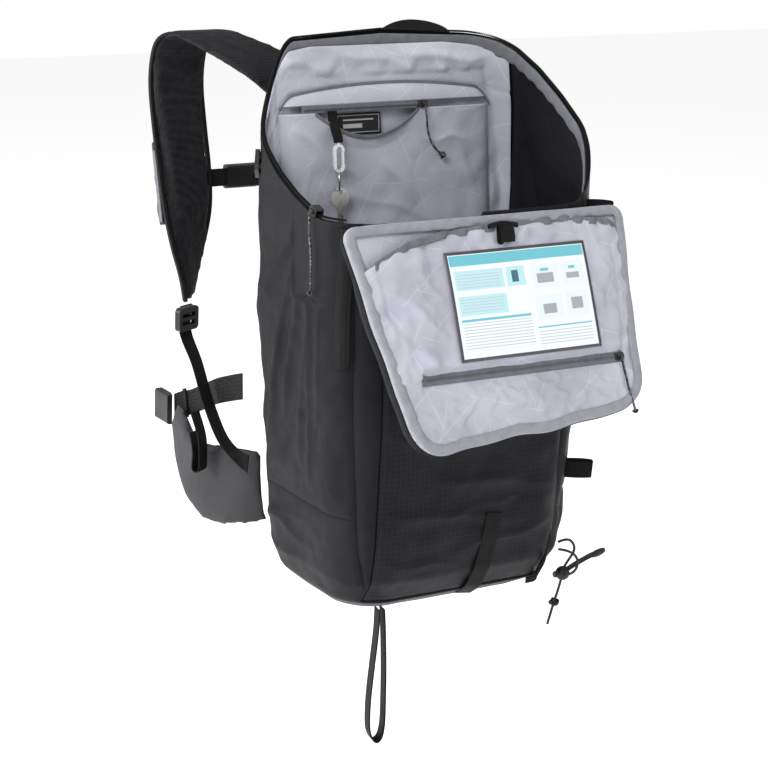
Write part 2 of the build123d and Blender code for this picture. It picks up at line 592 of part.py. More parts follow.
# ------------------------------------------------------------ outside webbing
LOOP_ACROSS = (0, 0.6, 0.8)
haul_loop = band([
    ((-4, 103.5, 548), (1, 0, 0.6), 20, 2.2), ((-2, 106, 565), (1, 0.2, 0.4), 20, 2.2),
    ((12, 112, 576), LOOP_ACROSS, 20, 2.2), ((32, 117, 583), LOOP_ACROSS, 20, 2.2),
    ((54, 119, 585), LOOP_ACROSS, 20, 2.2), ((78, 117, 582), LOOP_ACROSS, 20, 2.2),
    ((96, 112, 575), LOOP_ACROSS, 20, 2.2), ((110, 106, 564), (1, -0.2, -0.4), 20, 2.2),
    ((112, 103.5, 548), (1, 0, -0.6), 20, 2.2),
])
write(haul_loop, "haul_loop")

# Sewn-on webbing: a compression strap on the left back corner, two tabs on the right,
# the ice-axe strap's sleeve low on the left and a gear strip near the middle.
CLEAR_OF_BACK = block((-300, -60, -50), (300, 300, 700))
COMPRESSION = Location((-150, 78, 458), (-30.3, 0, 0))
with BuildPart() as outer_webbing:
    for y, z, x in ((-97, 415, 151), (-101, 132, 142)):
        with Locations(Location((x, y, z), (0, 0, -35))):
            Box(34, 3, 19)
    add(pack_volume(-0.1), mode=Mode.SUBTRACT)
    add(layer(-1.6, 0, block((-109, -FAR, 3), (-96, -60, 70)), CLEAR_OF_BACK))
    add(layer(-1.6, 0, block((4, -FAR, 3), (23, -60, 104)), CLEAR_OF_BACK))
    with BuildPart(mode=Mode.PRIVATE) as slanted:
        with Locations(COMPRESSION):
            Box(60, 18, 56)
    add(layer(-1.6, 0, slanted.part))
write(outer_webbing, "outer_webbing")

# Its ladder buckle lies on the webbing, turned to the corner's face.
with BuildPart() as compression_buckle:
    with BuildSketch(Plane((-154.6, 73, 455), x_dir=(-0.443, -0.689, 0.57), z_dir=(-0.84, 0.54, 0)).offset(2)):
        RectangleRounded(26, 24, 4)
        with GridLocations(0, 9, 1, 2):
            Rectangle(19, 4, mode=Mode.SUBTRACT)
    extrude(amount=4.5)
write(compression_buckle, "compression_buckle")

# Zip of the front compartment, down the left front corner.
with BuildPart() as front_zip:
    add(layer(-1.4, 0, block((-FAR, -100, 273), (-FRONT_SEAM_X, -86, 412))))
write(front_zip, "front_zip")

AXE_X, AXE_Y, AXE_Z = -101, -109, 10
AXE_W = 15
AXE_OUTLINE = [(-4.2, 2), (-5.6, -24), (-8.6, -62), (-10.8, -100), (-11.4, -128), (-8.4, -142), (-2, -149),
               (5, -145), (8.6, -130), (9.4, -104), (7.8, -66), (5.2, -30), (3.6, 2)]
with BuildPart() as ice_axe_loop:
    with BuildSketch(Plane.XZ.offset(-AXE_Y - AXE_W / 2)):
        with Locations((AXE_X, AXE_Z)):
            Polygon(*AXE_OUTLINE, align=None)
        offset(amount=-1.8, mode=Mode.SUBTRACT)
    extrude(amount=AXE_W)
write(ice_axe_loop, "ice_axe_loop")

# --------------------------------------------------- elastic cord and its lock
TIP_D = 3.0
tip_cord = cord(
    [(134.5, -94, 44), (143, -99, 49), (151, -101, 43), (154, -100, 33), (150.5, -95, 22), (146, -92, 12),
     (145, -90, -2), (142.5, -88.5, -16), (138, -88, -30), (134, -88, -44), (131, -88, -54)],
    TIP_D, "tip_cord")
write(tip_cord, "tip_cord")
CORD_LOCK = (145.5, -91, 5)
with BuildPart() as cord_lock_body:
    with Locations(CORD_LOCK):
        Sphere(8)
        Cylinder(2.6, 20, rotation=(8, 4, 0), mode=Mode.SUBTRACT)
    with Locations((CORD_LOCK[0] - 6.4, CORD_LOCK[1], CORD_LOCK[2])):
        Cylinder(3.7, 9, rotation=(0, 90, 0), mode=Mode.SUBTRACT)
write(cord_lock_body, "cord_lock_body")
with BuildPart() as cord_lock_plunger:
    with Locations((CORD_LOCK[0] - 8, CORD_LOCK[1], CORD_LOCK[2])):
        Cylinder(3.6, 7, rotation=(0, 90, 0))
    fillet(cord_lock_plunger.edges().group_by(Axis.X)[0], 1)
write(cord_lock_plunger, "cord_lock_plunger")

# ------------------------------------------------------------------------ lid
# Drawn on its own plane: x across, y up towards the fold, z out of the inner face.
LID_TILT = 22              # how far the hanging lid leans away from the front
lid_out = Vector(0, -1, 0).rotate(Axis.X, -LID_TILT)
LID = Plane(origin=(0, HINGE_Y - 4.5, HINGE_Z), x_dir=(1, 0, 0), z_dir=lid_out)
LID_LENGTH, LID_DEPTH = 236, 27
LID_OUTLINE = [(-166, -2), (-120, -LID_LENGTH), (154, -LID_LENGTH + 24), (174, -2)]
LID_CORNER = 46


def lid_outline(inset):
    """The lid's outline as a sketch on its plane, moved inwards by inset."""
    with BuildSketch(Plane.XY) as outline:
        with BuildLine():
            Polyline(*LID_OUTLINE, close=True)
        make_face()
        fillet(outline.vertices().sort_by(Axis.Y)[:2], LID_CORNER)
        fillet(outline.vertices().group_by(Axis.Y)[-1], 12)
        if inset:
            offset(amount=-inset, mode=Mode.REPLACE)
    return outline.sketch


def lid_plate(inset, low, high):
    with BuildPart() as plate:
        with BuildSketch(Plane.XY.offset(low)):
            add(lid_outline(inset))
        extrude(amount=high - low)
    return plate.part


def on_lid(piece):
    with BuildPart() as placed:
        add(piece.part.moved(LID.location))
    return placed


# Wedge that thins the lid towards its fold, so that it folds flat on the front panel.
with BuildPart() as fold_relief:
    with BuildSketch(Plane.YZ.offset(-FAR)):
        with BuildLine():
            Polyline((4, -3.2), (-70, -LID_DEPTH), (-70, -80), (4, -80), close=True)
        make_face()
    extrude(amount=2 * FAR)
with BuildPart() as relief_inside:
    add(fold_relief.part.moved(Location((0, 0, 2))))

with BuildPart() as lid_tray:
    add(lid_plate(0, -LID_DEPTH, 0))
    add(fold_relief.part, mode=Mode.SUBTRACT)
    with BuildPart(mode=Mode.PRIVATE) as hollow:
        add(lid_plate(2, -LID_DEPTH + 2, 5))
        add(relief_inside.part, mode=Mode.SUBTRACT)
    add(hollow.part, mode=Mode.SUBTRACT)
lid_shell = on_lid(lid_tray)
write(lid_shell, "lid_shell")

with BuildPart() as lid_inner:
    add(lid_plate(2.2, -3.4, -2.2))
    add(relief_inside.part, mode=Mode.SUBTRACT)
    add(block((-200, -12, -10), (200, 10, 10)), mode=Mode.SUBTRACT)
lid_lining = on_lid(lid_inner)
write(lid_lining, "lid_lining")

POCKET_EDGE = -22          # the lid pocket's bound top edge
with BuildPart() as lid_patch:
    add(lid_plate(2.2, -2.1, -0.9))
    add(block((-200, POCKET_EDGE, -10), (200, 10, 10)), mode=Mode.SUBTRACT)
lid_pocket = on_lid(lid_patch)
write(lid_pocket, "lid_pocket")

with BuildPart() as lid_edge:
    add(lid_plate(-1.6, -9, 0.9))
    add(lid_plate(0, -20, 5), mode=Mode.SUBTRACT)
    add(block((-300, -6, -30), (300, 20, 30)), mode=Mode.SUBTRACT)
lid_zip = on_lid(lid_edge)
write(lid_zip, "lid_zip")

with BuildPart() as lid_tape:
    add(lid_plate(0, 0.1, 1.3))
    add(lid_plate(9, -5, 5), mode=Mode.SUBTRACT)
    add(block((-300, -8, -30), (300, 20, 30)), mode=Mode.SUBTRACT)
lid_binding = on_lid(lid_tape)
write(lid_binding, "lid_binding")

CARD_W, CARD_H, CARD_AT = 172, 112, (26, -92)
with BuildPart() as card:
    with BuildSketch(Plane.XY.offset(-0.8)):
        with Locations(CARD_AT):
            Rectangle(CARD_W, CARD_H)
    extrude(amount=0.7)
safety_card = on_lid(card)
write(safety_card, "safety_card")

LID_ZIP_Y, LID_ZIP_RIGHT = -160, 147
with BuildPart() as lid_slider:
    with Locations((LID_ZIP_RIGHT - 8, LID_ZIP_Y, 0.5)):
        Box(11, 8, 2.4)
    fillet(lid_slider.edges().filter_by(Axis.Z), 2)
    with Locations((LID_ZIP_RIGHT - 8, LID_ZIP_Y, 2.5)):
        Box(6, 4, 1.6)
lid_pocket_slider = on_lid(lid_slider)
write(lid_pocket_slider, "lid_pocket_slider")

# The cord lies on the sloping lid and hangs over its bound edge.
pull_on_lid = [(139, -160, 4.7), (140, -171, 3.6), (141.6, -183, 3.2), (142.2, -195, 3.3),
               (144.6, -207, 3.2), (146, -219, 3.4)]
lid_pocket_pull = cord([LID.from_local_coords(Vector(*p)) for p in pull_on_lid], PULL_D, "lid_pocket_pull")
write(lid_pocket_pull, "lid_pocket_pull")

# Webbing loop with a moulded hook at the lid pocket's edge, for tying the lid's load.
with BuildPart() as hook_loop:
    with BuildSketch(Plane.YZ.offset(8)):
        with BuildLine():
            Polyline((-35, -0.7), (-25, -0.7), (-16, 5), (-18, 11), (-27, 12), (-27, 10.4), (-19.8, 9.4),
                     (-18.2, 6.2), (-25.6, 0.9), (-35, 0.9), close=True)
        make_face()
    extrude(amount=20)
lid_hook_loop = on_lid(hook_loop)
write(lid_hook_loop, "lid_hook_loop")

# --------------------------------------------------------------- rim sliders
# Each rides the mouth's zip; it bridges the teeth without touching them.
RIM_SLIDER = (-162.6, -60, 430)
with BuildPart() as slider_body:
    Box(9.6, 13, 9)
    fillet(slider_body.edges().filter_by(Axis.X), 2.4)
    with Locations((0, 0, -2.2)):
        Box(5.8, 30, 9, mode=Mode.SUBTRACT)
    with Locations((-5.7, 0, 0)):
        Box(1.8, 7, 4)
with BuildPart() as rim_slider_left:
    add(slider_body.part.moved(Location(RIM_SLIDER, (15, 0, 0))))
write(rim_slider_left, "rim_slider_left")
PULL_X, PULL_Y, PULL_Z = -170.6, RIM_SLIDER[1], RIM_SLIDER[2]
rim_pull_left = cord(
    [(PULL_X, PULL_Y, PULL_Z - 1), (PULL_X - 1.0, PULL_Y - 1.4, PULL_Z - 15),
     (PULL_X - 0.6, PULL_Y - 4, PULL_Z - 31), (PULL_X, PULL_Y - 5.6, PULL_Z - 47),
     (PULL_X + 0.4, PULL_Y - 5.4, PULL_Z - 64), (PULL_X + 0.6, PULL_Y - 4.6, PULL_Z - 82)],
    PULL_D, "rim_pull_left")
write(rim_pull_left, "rim_pull_left")
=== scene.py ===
import math
import bpy
import bmesh
from mathutils import Matrix, Vector, noise


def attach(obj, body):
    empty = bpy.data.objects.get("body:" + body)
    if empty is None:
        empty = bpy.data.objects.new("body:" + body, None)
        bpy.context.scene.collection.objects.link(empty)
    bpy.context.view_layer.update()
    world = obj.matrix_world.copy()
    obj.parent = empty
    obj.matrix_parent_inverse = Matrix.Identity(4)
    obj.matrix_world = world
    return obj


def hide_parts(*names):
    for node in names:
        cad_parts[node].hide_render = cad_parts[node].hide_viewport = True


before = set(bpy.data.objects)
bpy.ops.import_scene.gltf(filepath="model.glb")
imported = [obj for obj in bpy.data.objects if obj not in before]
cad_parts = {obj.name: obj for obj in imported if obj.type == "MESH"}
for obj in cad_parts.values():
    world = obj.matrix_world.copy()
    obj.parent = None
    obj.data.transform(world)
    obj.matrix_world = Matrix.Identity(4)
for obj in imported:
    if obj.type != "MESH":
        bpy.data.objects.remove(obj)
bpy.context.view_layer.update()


# ---------------------------------------------------------------- camera and studio
# The pack hangs in a plain white studio: a pale floor well below it, one broad soft
# light high on the left, a weaker one on the right, and an even white surround.
HOOK = Vector((52, 118, 582))          # the hanging point, in the pack's own millimetres


def at(x, y, z):
    """A point in the pack's own millimetres (base on z = 0) as a point of the frame in metres."""
    return (Vector((x, y, z)) - HOOK) / 1000


CAM_TURN, CAM_LIFT, CAM_ROLL = (math.radians(angle) for angle in (-31.45, 15.54, 2.04))
CAM_AIM, CAM_AWAY = (-65.6, -42.9, 234.4), 2387.6       # what it looks at, and from how many millimetres
cam_back = Vector((math.sin(CAM_TURN) * math.cos(CAM_LIFT), -math.cos(CAM_TURN) * math.cos(CAM_LIFT),
                   math.sin(CAM_LIFT)))
cam_right = Vector((math.cos(CAM_TURN), math.sin(CAM_TURN), 0))
cam_up = cam_back.cross(cam_right)
level_right, level_up = cam_right.copy(), cam_up.copy()
cam_right = level_right * math.cos(CAM_ROLL) + level_up * math.sin(CAM_ROLL)
cam_up = level_up * math.cos(CAM_ROLL) - level_right * math.sin(CAM_ROLL)
cam_place = at(*CAM_AIM) + cam_back * CAM_AWAY / 1000
bpy.ops.object.camera_add()
camera = bpy.context.object
camera.matrix_world = Matrix((*zip(cam_right, cam_up, cam_back, cam_place), (0, 0, 0, 1)))
camera.data.lens = 106.3
camera.data.sensor_width = 36
camera.data.dof.use_dof = False
bpy.context.scene.camera = camera

bpy.ops.mesh.primitive_plane_add(size=14, location=at(0, 0, -420))
floor = bpy.context.object
floor.name = "studio_floor"
floor_paint = bpy.data.materials.new("studio_floor")
floor_paint.use_nodes = True
for socket, value in (("Base Color", (0.93, 0.93, 0.93, 1)), ("Roughness", 0.8),
                      ("Emission Color", (1, 1, 1, 1)), ("Emission Strength", 0.45)):
    floor_paint.node_tree.nodes["Principled BSDF"].inputs[socket].default_value = value
floor.data.materials.append(floor_paint)

world = bpy.data.worlds.new("studio")
world.use_nodes = True
world.node_tree.nodes["Background"].inputs["Color"].default_value = (1, 1, 1, 1)
# the surround is seen as plain white, and lights the pack a little less than that
seen = world.node_tree.nodes.new("ShaderNodeLightPath")
level = world.node_tree.nodes.new("ShaderNodeMapRange")
level.inputs["To Min"].default_value = 0.5
level.inputs["To Max"].default_value = 1.0
world.node_tree.links.new(seen.outputs["Is Camera Ray"], level.inputs["Value"])
world.node_tree.links.new(level.outputs["Result"], world.node_tree.nodes["Background"].inputs["Strength"])
bpy.context.scene.world = world
bpy.context.scene.view_settings.view_transform = "Standard"

LIT_SPOT = at(0, 0, 300)
for name, place, size, power in (
        ("key_light", (-2.2, -1.6, 1.6), 1.2, 62), ("fill_light", (2.0, -2.0, 0.6), 1.8, 16),
        ("top_light", (0.2, 0.1, 2.4), 1.6, 26), ("side_light", (-2.4, 0.5, 0.2), 0.8, 40),
        ("rim_light", (-2.0, 1.6, 0.6), 1.2, 34)):
    bpy.ops.object.light_add(type="AREA", location=place)
    lamp = bpy.context.object
    lamp.name = name
    lamp.data.size, lamp.data.energy = size, power
    lamp.rotation_euler = (LIT_SPOT - Vector(place)).to_track_quat("-Z", "Y").to_euler()


# ------------------------------------------------------------------ pack body cloth
# The body is sewn from coated nylon: smooth satin cloth on the sides and back, ripstop
# with a fine raised grid on the front, the corners, the lower sides and the base. Each
# panel is one bowed and creased sheet, pulled in a little along its seams.
SECTIONS = [(0, 236, -80, 62, 48), (12, 264, -101, 84, 52), (40, 280, -115, 97, 54), (80, 288, -120, 100, 55),
            (220, 306, -122, 100, 56), (330, 320, -118, 100, 56), (420, 324, -112, 100, 54),
            (500, 320, -104, 100, 50), (596, 300, -92, 100, 46)]
RIM_LEFT = [(-170, 424), (-112, 424), (-68, 424.5), (-17, 439), (20, 455), (50, 474), (76, 498), (90, 532),
            (97, 566), (100, 580), (106, 592)]
RIM_RIGHT = [(-170, 424), (-112, 426), (-94, 447), (-82, 474), (-59, 500), (-23, 526), (17, 549), (57, 565),
             (88, 576), (100, 580), (106, 582)]
FRONT_SEAM_X, FRONT_SEAM_Y, BACK_SEAM_Y, LOWER_SEAM, BASE_TOP = 114, -104, 64, 110, 14


def between(table, key):
    """The table's row at key, by straight interpolation."""
    for low, high in zip(table, table[1:]):
        if key <= high[0]:
            part = max(0, (key - low[0]) / (high[0] - low[0]))
            return [a + (b - a) * part for a, b in zip(low[1:], high[1:])]
    return list(table[-1][1:])


def mouth_height(y, side):
    """Height of the mouth's edge at depth y; side is -1 for the wearer's left."""
    table = RIM_LEFT if side < 0 else RIM_RIGHT
    return sum(between(table, y + d)[0] for d in (-5, -2.5, 0, 2.5, 5)) / 5 if y < 92 else between(table, y)[0]


def seam_lengths(z):
    """Distances round the half outline to the front seam, corner seam, back seam and back centre."""
    width, front, back, corner = between(SECTIONS, z)
    flat = width / 2 - corner
    turn = math.asin(min(1, max(0, (FRONT_SEAM_X - flat) / corner)))
    first = FRONT_SEAM_X if FRONT_SEAM_X < flat else flat + corner * turn
    second = flat + corner * math.acos(min(1, max(-1, (front + corner - FRONT_SEAM_Y) / corner)))
    side = back - front - 2 * corner
    quarter = corner * math.pi / 2
    third = flat + quarter + side + corner * math.asin(min(1, max(0, (BACK_SEAM_Y - back + corner) / corner)))
    return first, max(second, first + 2), third, flat + quarter + side + quarter + flat


def wall_point(z, length, out, side):
    """A point on the wall, length mm round from the front's middle, out mm proud; and the outward normal."""
    width, front, back, corner = between(SECTIONS, z)
    flat, quarter = width / 2 - corner, corner * math.pi / 2
    straight = back - front - 2 * corner
    if length < flat:
        x, y, nx, ny = length, front, 0, -1
    elif length < flat + quarter:
        turn = (length - flat) / corner
        nx, ny = math.sin(turn), -math.cos(turn)
        x, y = flat + corner * nx, front + corner + corner * ny
    elif length < flat + quarter + straight:
        x, y, nx, ny = width / 2, front + corner + length - flat - quarter, 1, 0
    elif length < flat + 2 * quarter + straight:
        turn = (length - flat - quarter - straight) / corner
        nx, ny = math.cos(turn), math.sin(turn)
        x, y = flat + corner * nx, back - corner + corner * ny
    else:
        x, y, nx, ny = max(0, 2 * flat + 2 * quarter + straight - length), back, 0, 1
    return Vector((side * (x + nx * out), y + ny * out, z)), Vector((side * nx, ny, 0))


def creases(u, v, lines):
    """Height of sharp-topped folds: each line is (u0, v0, u1, v1, half width, height)."""
    total = 0
    for u0, v0, u1, v1, wide, high in lines:
        du, dv = u1 - u0, v1 - v0
        run = math.hypot(du, dv)
        along = ((u - u0) * du + (v - v0) * dv) / run / run
        wobble = 2.5 * math.sin(along * 9 + u0)
        off = ((u - u0) * dv - (v - v0) * du) / run + wobble
        fade = max(0, 1 - (2 * along - 1) ** 2) ** 0.6 if 0 < along < 1 else 0
        total += high * fade * math.exp(-abs(off / wide) ** 1.5)
    return total


def cloth_noise(x, y, z, size, high, seed=0):
    return high * noise.noise(Vector((x / size, y / size, z / size + seed)))


def sheet_from(name, cols, rows, place, thick=1.6, size=(1, 1), materials=(), offset=-1):
    """A cloth sheet: a grid whose vertex at (u, v) goes to place(u, v), then given its thickness."""
    bpy.ops.object.select_all(action="DESELECT")
    bpy.ops.mesh.primitive_grid_add(x_subdivisions=cols, y_subdivisions=rows, size=2)
    piece = bpy.context.object
    piece.name = name
    for vertex in piece.data.vertices:
        vertex.co = place((vertex.co.x + 1) / 2, (vertex.co.y + 1) / 2)
    for loop in piece.data.uv_layers[0].data:
        loop.uv = (loop.uv[0] * size[0], loop.uv[1] * size[1])
    for material in materials:
        piece.data.materials.append(material)
    bpy.ops.object.shade_smooth()
    if thick:
        thicken(piece, thick, offset)
    return piece


def select_only(piece):
    bpy.ops.object.select_all(action="DESELECT")
    piece.select_set(True)
    bpy.context.view_layer.objects.active = piece


def thicken(piece, thick, offset=-1):
    """Gives a sheet its thickness in millimetres; a second material goes on its inner face."""
    select_only(piece)
    solid = piece.modifiers.new("thickness", "SOLIDIFY")
    solid.thickness = thick / 1000
    solid.offset = offset
    if len(piece.data.materials) > 1:
        solid.material_offset = 1
        solid.material_offset_rim = 0
    bpy.ops.object.modifier_apply(modifier="thickness")


def close_seam(piece):
    """Merges the meeting edges of a sheet that closes on itself, and turns its faces outwards."""
    work = bmesh.new()
    work.from_mesh(piece.data)
    bmesh.ops.remove_doubles(work, verts=work.verts, dist=0.0003)
    bmesh.ops.dissolve_degenerate(work, edges=work.edges, dist=0.00001)
    bmesh.ops.recalc_face_normals(work, faces=work.faces)
    work.to_mesh(piece.data)
    work.free()


def group_nodes(name, inputs, outputs):
    """An empty shader node group with named float or vector inputs and float outputs."""
    group = bpy.data.node_groups.new(name, "ShaderNodeTree")
    for label, kind, value in inputs:
        socket = group.interface.new_socket(label, in_out="INPUT", socket_type=kind)
        if kind == "NodeSocketFloat":
            socket.default_value = value
    for label, kind in outputs:
        group.interface.new_socket(label, in_out="OUTPUT", socket_type=kind)
    return group, group.nodes.new("NodeGroupInput"), group.nodes.new("NodeGroupOutput")


def math_node(tree, kind, *values):
    node = tree.nodes.new("ShaderNodeMath")
    node.operation = kind
    for index, value in enumerate(values):
        if isinstance(value, (int, float)):
            node.inputs[index].default_value = value
        else:
            tree.links.new(value, node.inputs[index])
    return node.outputs[0]


def new_material(name):
    """A node material: itself, its tree, its shader and its texture coordinates."""
    made = bpy.data.materials.new(name)
    made.use_nodes = True
    nodes = made.node_tree.nodes
    return made, made.node_tree, nodes["Principled BSDF"], nodes.new("ShaderNodeTexCoord").outputs


def pattern(tree, kind, source, **values):
    """The outputs of a texture node, or of a node group, read at source with the given values."""
    node = tree.nodes.new(kind if isinstance(kind, str) else "ShaderNodeGroup")
    if not isinstance(kind, str):
        node.node_tree = kind
    tree.links.new(source, node.inputs["Vector"])
    for label, value in values.items():
        node.inputs[label].default_value = value
    return node.outputs


def split_axes(tree, source):
    node = tree.nodes.new("ShaderNodeSeparateXYZ")
    tree.links.new(source, node.inputs[0])
    return node.outputs["X"], node.outputs["Y"]


def two_tones(tree, shader, shade, low, dark, high, light):
    """Base colour that runs from dark where shade is low to light where it is high."""
    mix = tree.nodes.new("ShaderNodeValToRGB")
    for index, spot, tone in ((0, low, dark), (1, high, light)):
        mix.color_ramp.elements[index].position = spot
        mix.color_ramp.elements[index].color = (*tone, 1)
    tree.links.new(shade, mix.inputs["Fac"])
    tree.links.new(mix.outputs["Color"], shader.inputs["Base Color"])


def uneven_rough(tree, shader, marked, spread, rough):
    """Roughness that varies with marked by spread, about rough."""
    tree.links.new(math_node(tree, "MULTIPLY_ADD", marked, spread, rough - spread / 2), shader.inputs["Roughness"])


def relief(tree, height, distance, strength, onto):
    """A bump node for height, linked to the normal of the shader or bump node it lies onto."""
    bump = tree.nodes.new("ShaderNodeBump")
    bump.inputs["Distance"].default_value = distance
    bump.inputs["Strength"].default_value = strength
    tree.links.new(height, bump.inputs["Height"])
    tree.links.new(bump.outputs["Normal"], onto.inputs["Normal"])
    return bump


# Woven cloth: over-and-under threads of one pitch, with a heavier thread every few.
weave, weave_in, weave_out = group_nodes(
    "woven_threads",
    [("Vector", "NodeSocketVector", 0), ("Pitch", "NodeSocketFloat", 1.0), ("Grid", "NodeSocketFloat", 5.0)],
    [("Threads", "NodeSocketFloat"), ("Grid Lines", "NodeSocketFloat")])
split = weave.nodes.new("ShaderNodeSeparateXYZ")
weave.links.new(weave_in.outputs["Vector"], split.inputs[0])
waves, bars = [], []
for axis in ("X", "Y"):
    turns = math_node(weave, "DIVIDE", split.outputs[axis], weave_in.outputs["Pitch"])
    waves.append(math_node(weave, "SINE", math_node(weave, "MULTIPLY", turns, math.tau)))
    cell = math_node(weave, "DIVIDE", split.outputs[axis], weave_in.outputs["Grid"])
    near = math_node(weave, "ABSOLUTE", math_node(weave, "SUBTRACT", math_node(weave, "FRACT", cell), 0.5))
    bars.append(math_node(weave, "GREATER_THAN", near, 0.4))
weave.links.new(math_node(weave, "MULTIPLY", *waves), weave_out.inputs["Threads"])
weave.links.new(math_node(weave, "MAXIMUM", *bars), weave_out.inputs["Grid Lines"])

# Handling marks: soft cloudy patches where cloth has been rubbed and creased.
marks, marks_in, marks_out = group_nodes(
    "handling_marks", [("Vector", "NodeSocketVector", 0), ("Size", "NodeSocketFloat", 12.0)],
    [("Cloud", "NodeSocketFloat"), ("Fine", "NodeSocketFloat")])
for label, factor in (("Cloud", 1.0), ("Fine", 9.0)):
    patch = marks.nodes.new("ShaderNodeTexNoise")
    patch.inputs["Detail"].default_value = 4
    marks.links.new(marks_in.outputs["Vector"], patch.inputs["Vector"])
    marks.links.new(math_node(marks, "MULTIPLY", marks_in.outputs["Size"], factor), patch.inputs["Scale"])
    marks.links.new(patch.outputs["Fac"], marks_out.inputs[label])


def cloth_material(name, dark, light, rough, sheen=0.0, pitch=0.9, grid=5.0, grid_light=0.0, depth=0.15,
                   crinkle=0.25, on_uv=True, gloss=0.12, printed=0.0):
    """Woven cloth: colours for valley and ridge, roughness, thread pitch and grid in the piece's units."""
    cloth, tree, shader, where = new_material(name)
    source, unit = (where["UV"], 1) if on_uv else (where["Object"], 1000)
    threads = pattern(tree, weave, source, Pitch=pitch / unit, Grid=grid / unit)
    rubbed = pattern(tree, marks, where["Object"])
    shade = math_node(tree, "MULTIPLY_ADD", threads["Threads"], 0.22, rubbed["Cloud"])
    shade = math_node(tree, "MULTIPLY_ADD", threads["Grid Lines"], grid_light, shade)
    if printed:
        # straight crossing lines, printed a little lighter than the cloth and broken up
        flat_x, flat_y = split_axes(tree, source)
        for angle, period in ((18, 37), (74, 47), (126, 41), (157, 53)):
            across = math_node(tree, "MULTIPLY_ADD", flat_x, math.cos(math.radians(angle)),
                               math_node(tree, "MULTIPLY", flat_y, math.sin(math.radians(angle))))
            away = math_node(tree, "PINGPONG", across, period / 2)
            broken = pattern(tree, "ShaderNodeTexNoise", source, Scale=0.021 + angle / 9000, Detail=0)
            shown = math_node(tree, "GREATER_THAN", broken["Fac"], 0.5)
            line = math_node(tree, "MULTIPLY", math_node(tree, "LESS_THAN", away, 0.45), shown)
            shade = math_node(tree, "MULTIPLY_ADD", line, printed, shade)
    two_tones(tree, shader, shade, 0.25, dark, 0.85, light)
    uneven_rough(tree, shader, rubbed["Fine"], 0.18, rough)
    shader.inputs["Sheen Weight"].default_value = sheen
    shader.inputs["Sheen Roughness"].default_value = 0.4
    shader.inputs["Specular IOR Level"].default_value = gloss
    height = math_node(tree, "MULTIPLY_ADD", threads["Grid Lines"], 0.8,
                       math_node(tree, "MULTIPLY", threads["Threads"], 0.4))
    relief(tree, height, 0.0003, depth, relief(tree, rubbed["Cloud"], 0.004, crinkle, shader))
    return cloth


satin_cloth = cloth_material("satin_side_cloth", (0.002, 0.002, 0.0025), (0.007, 0.007, 0.009), 0.36,
                             pitch=0.8, depth=0.12, crinkle=0.4, gloss=0.24)
ripstop = cloth_material("ripstop_cloth", (0.002, 0.002, 0.003), (0.009, 0.0095, 0.013), 0.46, sheen=0.02,
                         pitch=0.9, grid=4.6, grid_light=0.3, depth=0.45, crinkle=0.35, gloss=0.13)
inner_dark = cloth_material("coated_inside", (0.004, 0.004, 0.005), (0.012, 0.012, 0.014), 0.6, pitch=1.0,
                            grid=4.6, grid_light=0.15, depth=0.3)
lining_grey = cloth_material("lining_cloth", (0.33, 0.335, 0.39), (0.50, 0.505, 0.575), 0.5, sheen=0.08,
                             pitch=0.8, depth=0.1, crinkle=0.35, printed=0.3)


def join_all(name, pieces):
    bpy.ops.object.select_all(action="DESELECT")
    for piece in pieces:
        piece.select_set(True)
    bpy.context.view_layer.objects.active = pieces[0]
    bpy.ops.object.join()
    pieces[0].name = name
    return pieces[0]


def body_part(name, node, parts, body="pack"):
    """Sewn parts joined as one piece that rides on body, in the CAD node's place where it has one."""
    whole = join_all(name, parts) if len(parts) > 1 else parts[0]
    whole.name = name
    if node:
        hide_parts(node)
    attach(whole, body)


# Folds in the left side fan down from the mouth's front corner, where the weight pulls.
LEFT_FOLDS = [(-196, 418, -262, 190, 8, 5.4), (-190, 400, -226, 150, 7, 4.4), (-215, 420, -315, 300, 9, 4.8),
              (-250, 330, -300, 140, 10, 4.2), (-200, 300, -205, 130, 6, 3.4), (-330, 440, -300, 220, 9, 3.6),
              (-280, 250, -330, 120, 8, 3.6), (-180, 350, -190, 180, 5, 3.0), (-232, 380, -284, 210, 4, 3.0),
              (-206, 230, -290, 130, 6, 3.4), (-300, 420, -345, 330, 7, 3.4)]
RIGHT_FOLDS = [(200, 430, 250, 180, 9, 3.2), (300, 480, 240, 300, 10, 3.0), (190, 320, 210, 130, 7, 2.6),
               (320, 360, 280, 150, 9, 2.8)]
FRONT_FOLDS = [(-110, 118, 70, 92, 6, 2.6), (-60, 150, 112, 128, 7, 2.4), (-112, 200, 30, 176, 6, 1.8),
               (-20, 66, 108, 84, 5, 2.0), (-105, 60, -10, 50, 5, 1.8), (20, 220, 112, 190, 6, 1.6),
               (-90, 260, 60, 232, 7, 1.4), (-40, 106, 60, 120, 4, 1.6)]
LOW_FOLDS = [(-200, 96, -330, 70, 7, 3.2), (-190, 60, -300, 84, 6, 2.6), (-210, 40, -320, 46, 6, 2.2),
             (200, 96, 330, 70, 7, 3.2), (190, 60, 300, 84, 6, 2.6)]


